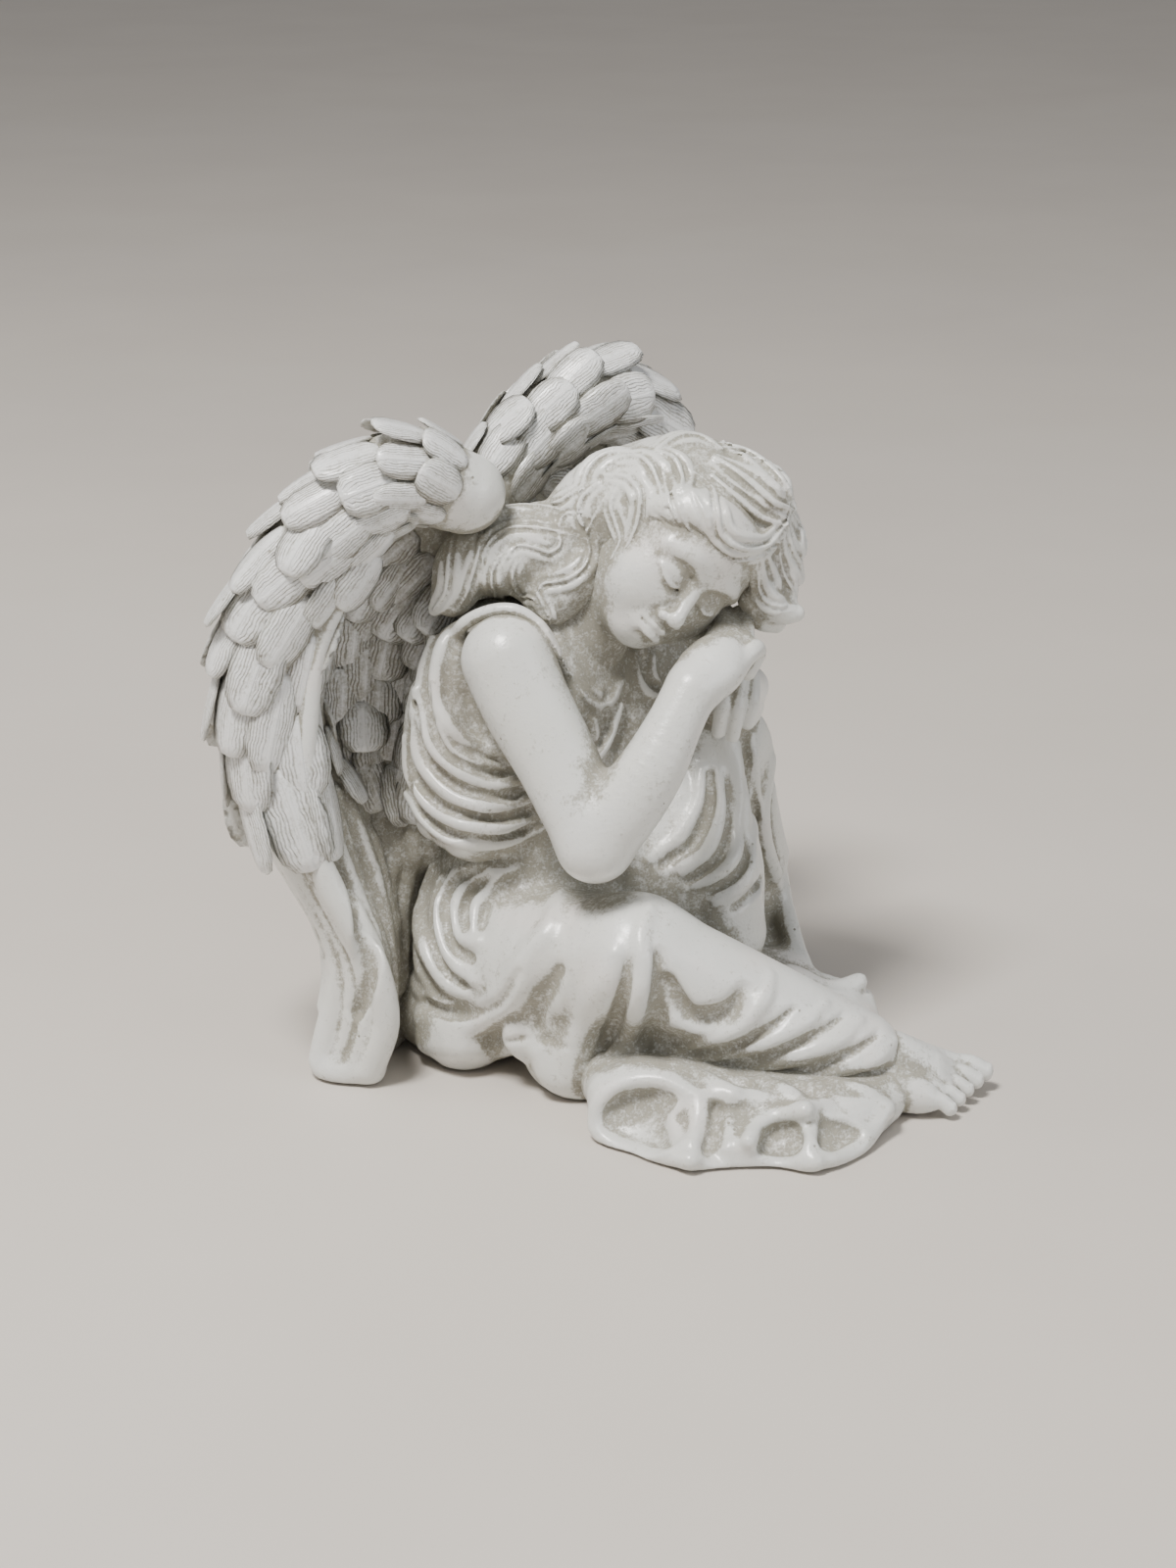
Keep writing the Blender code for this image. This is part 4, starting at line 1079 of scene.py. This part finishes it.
def along_edge(edge, start, stop, pitch, turns, swell):
    """Feathers in rings round the rolled edge, every other ring set over by half a feather."""
    line = smooth_curve(edge, 12)
    steps = np.linalg.norm(np.diff(line[:, :3], axis=0), axis=1)
    run = np.concatenate([[0], np.cumsum(steps)])
    spots = []
    at, ring = start * run[-1], 0
    while at < stop * run[-1]:
        share = at / run[-1]
        here = np.array([np.interp(at, run, line[:, k]) for k in range(4)])
        ahead = np.array([np.interp(min(at + 2, run[-1]), run, line[:, k]) for k in range(3)])
        along = (ahead - here[:3]) / np.linalg.norm(ahead - here[:3])
        right = np.cross(along, (0, -1, 0))
        right /= np.linalg.norm(right)
        front = np.cross(right, along)
        width, length, thick = swell(share)
        low, high = turns
        count = max(2, round(math.radians(high - low) * here[3] / (width * 0.66)))
        for number in range(count + 1):
            angle = math.radians(low + (high - low) * (number + 0.5 * (ring % 2)) / count)
            out = math.cos(angle) * front + math.sin(angle) * right
            spots.append((here[:3] + out * here[3], along, (width, length, thick), 1 + min(3.6, 24 * share)))
        at += pitch(share)
        ring += 1
    return spots


def down_web(hollow, root, rows, columns, shift, size, lift=7):
    """Feathers in rows down one face of the web. Rows are shares of its length, shift is towards the face."""
    hollow, root = smooth_curve(hollow, 8)[:, :3], smooth_curve(root, 8)[:, :3]
    spots = []
    for number, share in enumerate(rows):
        where = share * (len(hollow) - 1)
        at = int(where)
        for column in range(columns):
            side = (column + 0.5 * (number % 2)) / max(columns - 0.5, 1)
            line = hollow + (root - hollow) * side
            place = line[at] + (line[at + 1] - line[at]) * (where - at)
            along = line[min(at + 3, len(line) - 1)] - line[at]
            spots.append((place + np.array(shift), along / np.linalg.norm(along), size, lift))
    return spots


spots = along_edge(
    RIGHT_EDGE, 0.03, 0.60,
    lambda share: 4.6 + 11.0 * share,
    (-75, 190),
    lambda share: (9.0 + 8.0 * share, 9.5 + 21 * share, 0.6 + min(0.6, 4 * share)),
)
spots += down_web(RIGHT_HOLLOW, RIGHT_ROOT, np.arange(0.16, 0.60, 0.048), 4, (2, -6, 0), (11.5, 11.5, 1.1), 6)
spots += down_web(RIGHT_HOLLOW, RIGHT_ROOT, np.arange(0.10, 0.60, 0.055), 5, (-2, 7, 0), (11.5, 13, 1.1), 6)
plumage("right_wing_feathers", right_wing, spots, "right_wing_casting")

# ---------------------------------------------------------------------------------------------------
# The left wing's core, the same kind of casting as the right one: a rolled edge and a hollowed web, spread
# behind the back and bonded to it.

LEFT_EDGE = [(-23, 18, 103, 6.2), (-14, 25, 114, 7.0), (-3, 32, 121, 7.8), (5, 39, 118, 8.2),
             (9, 44, 104, 8.0), (11, 47, 80, 7.6), (11, 47, 60, 7.0), (9, 46, 38, 6.0), (6, 45, 20, 5.4),
             (4, 44, 4, 5.6)]
LEFT_HOLLOW = [(-18, 26, 100, 3.2), (-13, 33, 107, 3.2), (-6, 39, 109, 3.2), (-2, 44, 102, 3.2),
               (-1, 48, 88, 3.2), (-2, 48, 72, 3.2), (-3, 47, 56, 3.2), (-5, 44, 38, 3.2),
               (-6, 42, 20, 3.2), (-6, 40, 2, 3.2)]
LEFT_ROOT = [(-20, 22, 90, 3.4), (-20, 25, 86, 3.4), (-19, 27, 80, 3.4), (-18, 28, 74, 3.4),
             (-18, 29, 66, 3.4), (-18, 29, 56, 3.4), (-18, 29, 46, 3.4), (-18, 29, 32, 3.4),
             (-18, 28, 18, 3.4), (-18, 27, 2, 3.4)]

left_wing = wing_core((-34, 8, -2), (24, 62, 133), LEFT_EDGE, LEFT_HOLLOW, LEFT_ROOT,
                      [(-17, 23, 84, 5), (-16, 24, 66, 7), (-17, 25, 40, 7)])
quills(left_wing, LEFT_HOLLOW, LEFT_ROOT, (0.0, 0.25, 0.5, 0.75), (0.55, 0.97), 2.1, (4, -6, 0))
quills(left_wing, LEFT_EDGE, LEFT_HOLLOW, (0.3, 0.6), (0.62, 0.97), 1.8, (4, -5, 0))
quills(left_wing, LEFT_HOLLOW, LEFT_ROOT, (0.05, 0.28, 0.51, 0.74), (0.5, 0.97), 2.3, (-5, 6, 0))
quills(left_wing, LEFT_EDGE, LEFT_HOLLOW, (0.0, 0.35, 0.7), (0.6, 0.97), 2.0, (0, 7, 0))
left_wing.grind(0.15)
cast("left_wing_core", left_wing, "left_wing_casting")

# ---------------------------------------------------------------------------------------------------
# The left wing's feathers, cast in one with it and laid like those on the right: in rings round the rolled
# edge, then down both faces of the web.

spots = along_edge(
    LEFT_EDGE, 0.04, 0.74,
    lambda share: 5.4 + 8.0 * share,
    (-215, 45),
    lambda share: (10.5 + 5.0 * share, 10.5 + 17 * share, 0.7),
)
spots += down_web(LEFT_HOLLOW, LEFT_ROOT, np.arange(0.14, 0.60, 0.048), 3, (4, -6, 0), (11.0, 11, 1.1), 6)
spots += down_web(LEFT_HOLLOW, LEFT_ROOT, np.arange(0.10, 0.60, 0.055), 4, (-4, 7, 0), (11.5, 13, 1.1), 6)
plumage("left_wing_feathers", left_wing, spots, "left_wing_casting")

# ---------------------------------------------------------------------------------------------------
# The antique finish, brushed over the assembled figurine: pearly cream paint, then a thin grey-brown wash
# that is wiped off again and stays in the hollows. The same dark tone is also put on as painted shade in
# sheltered places and in the nooks between parts.

# A block of cells over the whole figurine, each with the share of it that is solid.
WASH_GRAIN = 0.6
block_low = np.array([-78.0, -64.0, -4.0])
block_count = np.ceil((np.array([86.0, 66.0, 136.0]) - block_low) / WASH_GRAIN).astype(int)
block = np.zeros(block_count, np.float32)
for piece, clay in painted:
    clay_cells = []
    block_cells = []
    for k in range(3):
        line = block_low[k] + WASH_GRAIN * np.arange(block_count[k])
        near = np.round((line - clay.low[k]) / clay.grain).astype(int)
        inside = (near >= 0) & (near < clay.count[k])
        clay_cells.append(near[inside])
        block_cells.append(np.nonzero(inside)[0])
    field = clay.field[np.ix_(*clay_cells)]
    part = block[np.ix_(*block_cells)]
    block[np.ix_(*block_cells)] = np.maximum(part, np.clip(0.5 - field / WASH_GRAIN, 0, 1))
# Feathers are thin, so each of their triangles fills the cells under eight of its points. A point is given by
# its shares of the first two corners.
ON_TRIANGLE = (
    (0.33, 0.33), (0.6, 0.2), (0.2, 0.6), (0.2, 0.2), (0.0, 0.5), (0.5, 0.0), (0.5, 0.5), (0.0, 0.0),
)
for piece in plumes:
    mesh = piece.data
    mesh.calc_loop_triangles()
    corners = np.array([[mesh.vertices[v].co for v in face.vertices] for face in mesh.loop_triangles]) / MM
    for one, two in ON_TRIANGLE:
        spot = corners[:, 0] * one + corners[:, 1] * two + corners[:, 2] * (1 - one - two)
        cell = np.round((spot - block_low) / WASH_GRAIN).astype(int)
        block[tuple(np.clip(cell, 0, block_count - 1).T)] = 1


def smudge(solid, radius):
    """The share of solid within about a radius, by running means along each axis, twice."""
    reach = max(1, round(radius / WASH_GRAIN))
    for axis in (0, 1, 2, 0, 1, 2):
        width = [(0, 0)] * 3
        width[axis] = (reach + 1, reach)
        total = np.cumsum(np.pad(solid, width, mode="edge"), axis=axis, dtype=np.float64)
        ends = [slice(None)] * 3
        ends[axis] = slice(2 * reach + 1, None)
        starts = [slice(None)] * 3
        starts[axis] = slice(0, -(2 * reach + 1))
        solid = ((total[tuple(ends)] - total[tuple(starts)]) / (2 * reach + 1)).astype(np.float32)
    return solid


# Each look at the block: how widely it is smudged, how far out from the surface it is taken, the share that a
# plain surface shows there, and how much it counts. The first two find pits and valleys, where the wash
# stays; the wider two find sheltered places and nooks, and paint shade there.
WASH_AND_SHADE_LOOKS = ((0.6, 0.0, 0.5, 2.4), (1.8, 0.5, 0.42, 3.0), (4.2, 3.4, 0.16, 2.6), (9.0, 7.0, 0.20, 2.8))
FACE_WIPED = 0.08
smudged = [smudge(block, look[0]) for look in WASH_AND_SHADE_LOOKS]
for piece in [o for o in bpy.data.objects if o.get("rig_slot") == "cream_resin"]:
    mesh = piece.data
    points = np.empty(len(mesh.vertices) * 3)
    normals = np.empty(len(mesh.vertices) * 3)
    mesh.vertices.foreach_get("co", points)
    mesh.vertices.foreach_get("normal", normals)
    points, normals = points.reshape(-1, 3) / MM, normals.reshape(-1, 3)
    # Wash in pits and valleys, plus painted shade in sheltered places and the nooks between parts, kept on
    # each point.
    wash = 0
    for solid, (_, out, plain, weight) in zip(smudged, WASH_AND_SHADE_LOOKS):
        spot = (points + out * normals - block_low) / WASH_GRAIN
        wash = wash + weight * (read_grid(solid, spot) - plain)
    if piece.name == "face":
        wash -= FACE_WIPED
    mesh.attributes.new("wash", "FLOAT", "POINT").data.foreach_set("value", wash.astype(np.float32))


def antique_paint(name, barbed):
    """Pearly cream with the wash and painted shade over it. On feathers the wash also fills the combed barbs,
    and shade is painted at each feather's root.
    """
    material, tree, shader, place = new_material(name)
    wash = shade(tree, "ShaderNodeAttribute", {"attribute_name": "wash"}, out=2)
    stipple = noise(tree, place, 2300.0, 2.0)
    speck = noise(tree, place, 850.0, 3.0)
    patch = noise(tree, place, 140.0, 4.0)
    cloud = noise(tree, place, 36.0, 2.0)
    blush = noise(tree, place, 55.0, 2.0)
    hole = shade(tree, "ShaderNodeTexVoronoi", {}, Vector=place, Scale=300.0)
    hole = ((0.10 - hole) * 30.0).clamp() * ((patch - 0.52) * 12.0).clamp()
    # Darkness from the attribute: the wash in hollows, plus painted shade in sheltered places and nooks.
    depth = (wash + 0.16) * 0.9 if barbed else (wash + 0.33) * 2.3
    grit = (speck - 0.5) * 2.4 + (stipple - 0.5) * 1.8 + (patch - 0.5) * 1.5
    depth = depth.clamp(0.02 if barbed else -0.3, 0.52 if barbed else 0.90) + grit * (0.6 if barbed else 1.0)
    height = patch * 0.6 + speck * 0.5 + stipple * 0.25 - hole * 2.0
    pearl = mix(tree, ((cloud - 0.35) * 3.0).clamp(), (0.66, 0.665, 0.63, 1), (0.72, 0.73, 0.71, 1))
    pearl = mix(tree, ((blush - 0.55) * 3.0).clamp(0, 0.5), pearl, (0.76, 0.71, 0.68, 1))
    if barbed:
        barb = shade(tree, "ShaderNodeAttribute", {"attribute_name": "barb"}, out=1)
        across, along = (shade(tree, "ShaderNodeSeparateXYZ", {}, barb, out=axis) for axis in (0, 1))
        reach = across.math("ABSOLUTE", across)
        wobble = noise(tree, place, 260.0, 2.0)
        vane = (along * 8.0 - reach * 3.2 + wobble * 2.4) * math.tau
        cut = (vane.math("SINE", vane) * 0.9 + 0.1).clamp() * ((reach - 0.16) * 5.0).clamp()
        quill = ((0.10 - reach) * 20.0).clamp()
        # Painted shade at each feather's root, where the tip of the feather before lies over it; the barb
        # cuts hold wash.
        depth = depth + cut * 0.6 + ((0.60 - along) * 2.4).clamp() * 0.3 - quill * 0.15
        height = height - cut * 2.2 + quill * 0.8
        pearl = mix(tree, ((along - 0.55) * 3.0).clamp(0, 0.7), pearl, (0.80, 0.81, 0.82, 1))
    depth = (depth + hole * 1.2).clamp()
    # The grey-brown of the wash, also used as the colour of the painted shade.
    wash_and_shade_tone = mix(tree, speck, (0.11, 0.10, 0.07, 1), (0.38, 0.36, 0.29, 1))
    plug(tree, shader.inputs["Base Color"], mix(tree, depth * 0.88, pearl, wash_and_shade_tone))
    plug(tree, shader.inputs["Roughness"], depth * 0.40 + 0.30)
    plug(tree, shader.inputs["Coat Weight"], (1.0 - depth) * 0.45)
    shader.inputs["Coat Roughness"].default_value = 0.22
    bump = shade(tree, "ShaderNodeBump", {}, Strength=0.5, Distance=0.0004, Height=height)
    plug(tree, shader.inputs["Normal"], bump)
    return material


antique = antique_paint("antique_resin", barbed=False)
for piece, clay in painted:
    piece.data.materials.append(antique)
antique_paint("feather_resin", barbed=True)

# ---------------------------------------------------------------------------------------------------
# The dowels inside the seams: plain drawn steel wire, cut to length and glued into drilled holes.
# They are shown as they are, in a bright drawn finish.

steel, tree, shader, place = new_material("dowel_wire")
drawn = shade(tree, "ShaderNodeTexNoise", {}, Vector=place, Scale=2600.0, Detail=2.0)
plug(tree, shader.inputs["Base Color"], mix(tree, drawn, (0.50, 0.50, 0.51, 1), (0.62, 0.62, 0.63, 1)))
plug(tree, shader.inputs["Roughness"], drawn * 0.2 + 0.25)
shader.inputs["Metallic"].default_value = 1.0
for name, obj in frame["nodes"].items():
    if name.endswith("_dowel"):
        obj.data.materials.clear()
        obj.data.materials.append(steel)

# ---------------------------------------------------------------------------------------------------
# Both boxes, in metres: the frame's own before anything was added, and the one with the looks on.

visual_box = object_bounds()
boxes = {"cad": cad_box, "visual": visual_box}
plain = {key: [[float(value) for value in corner] for corner in box] for key, box in boxes.items()}
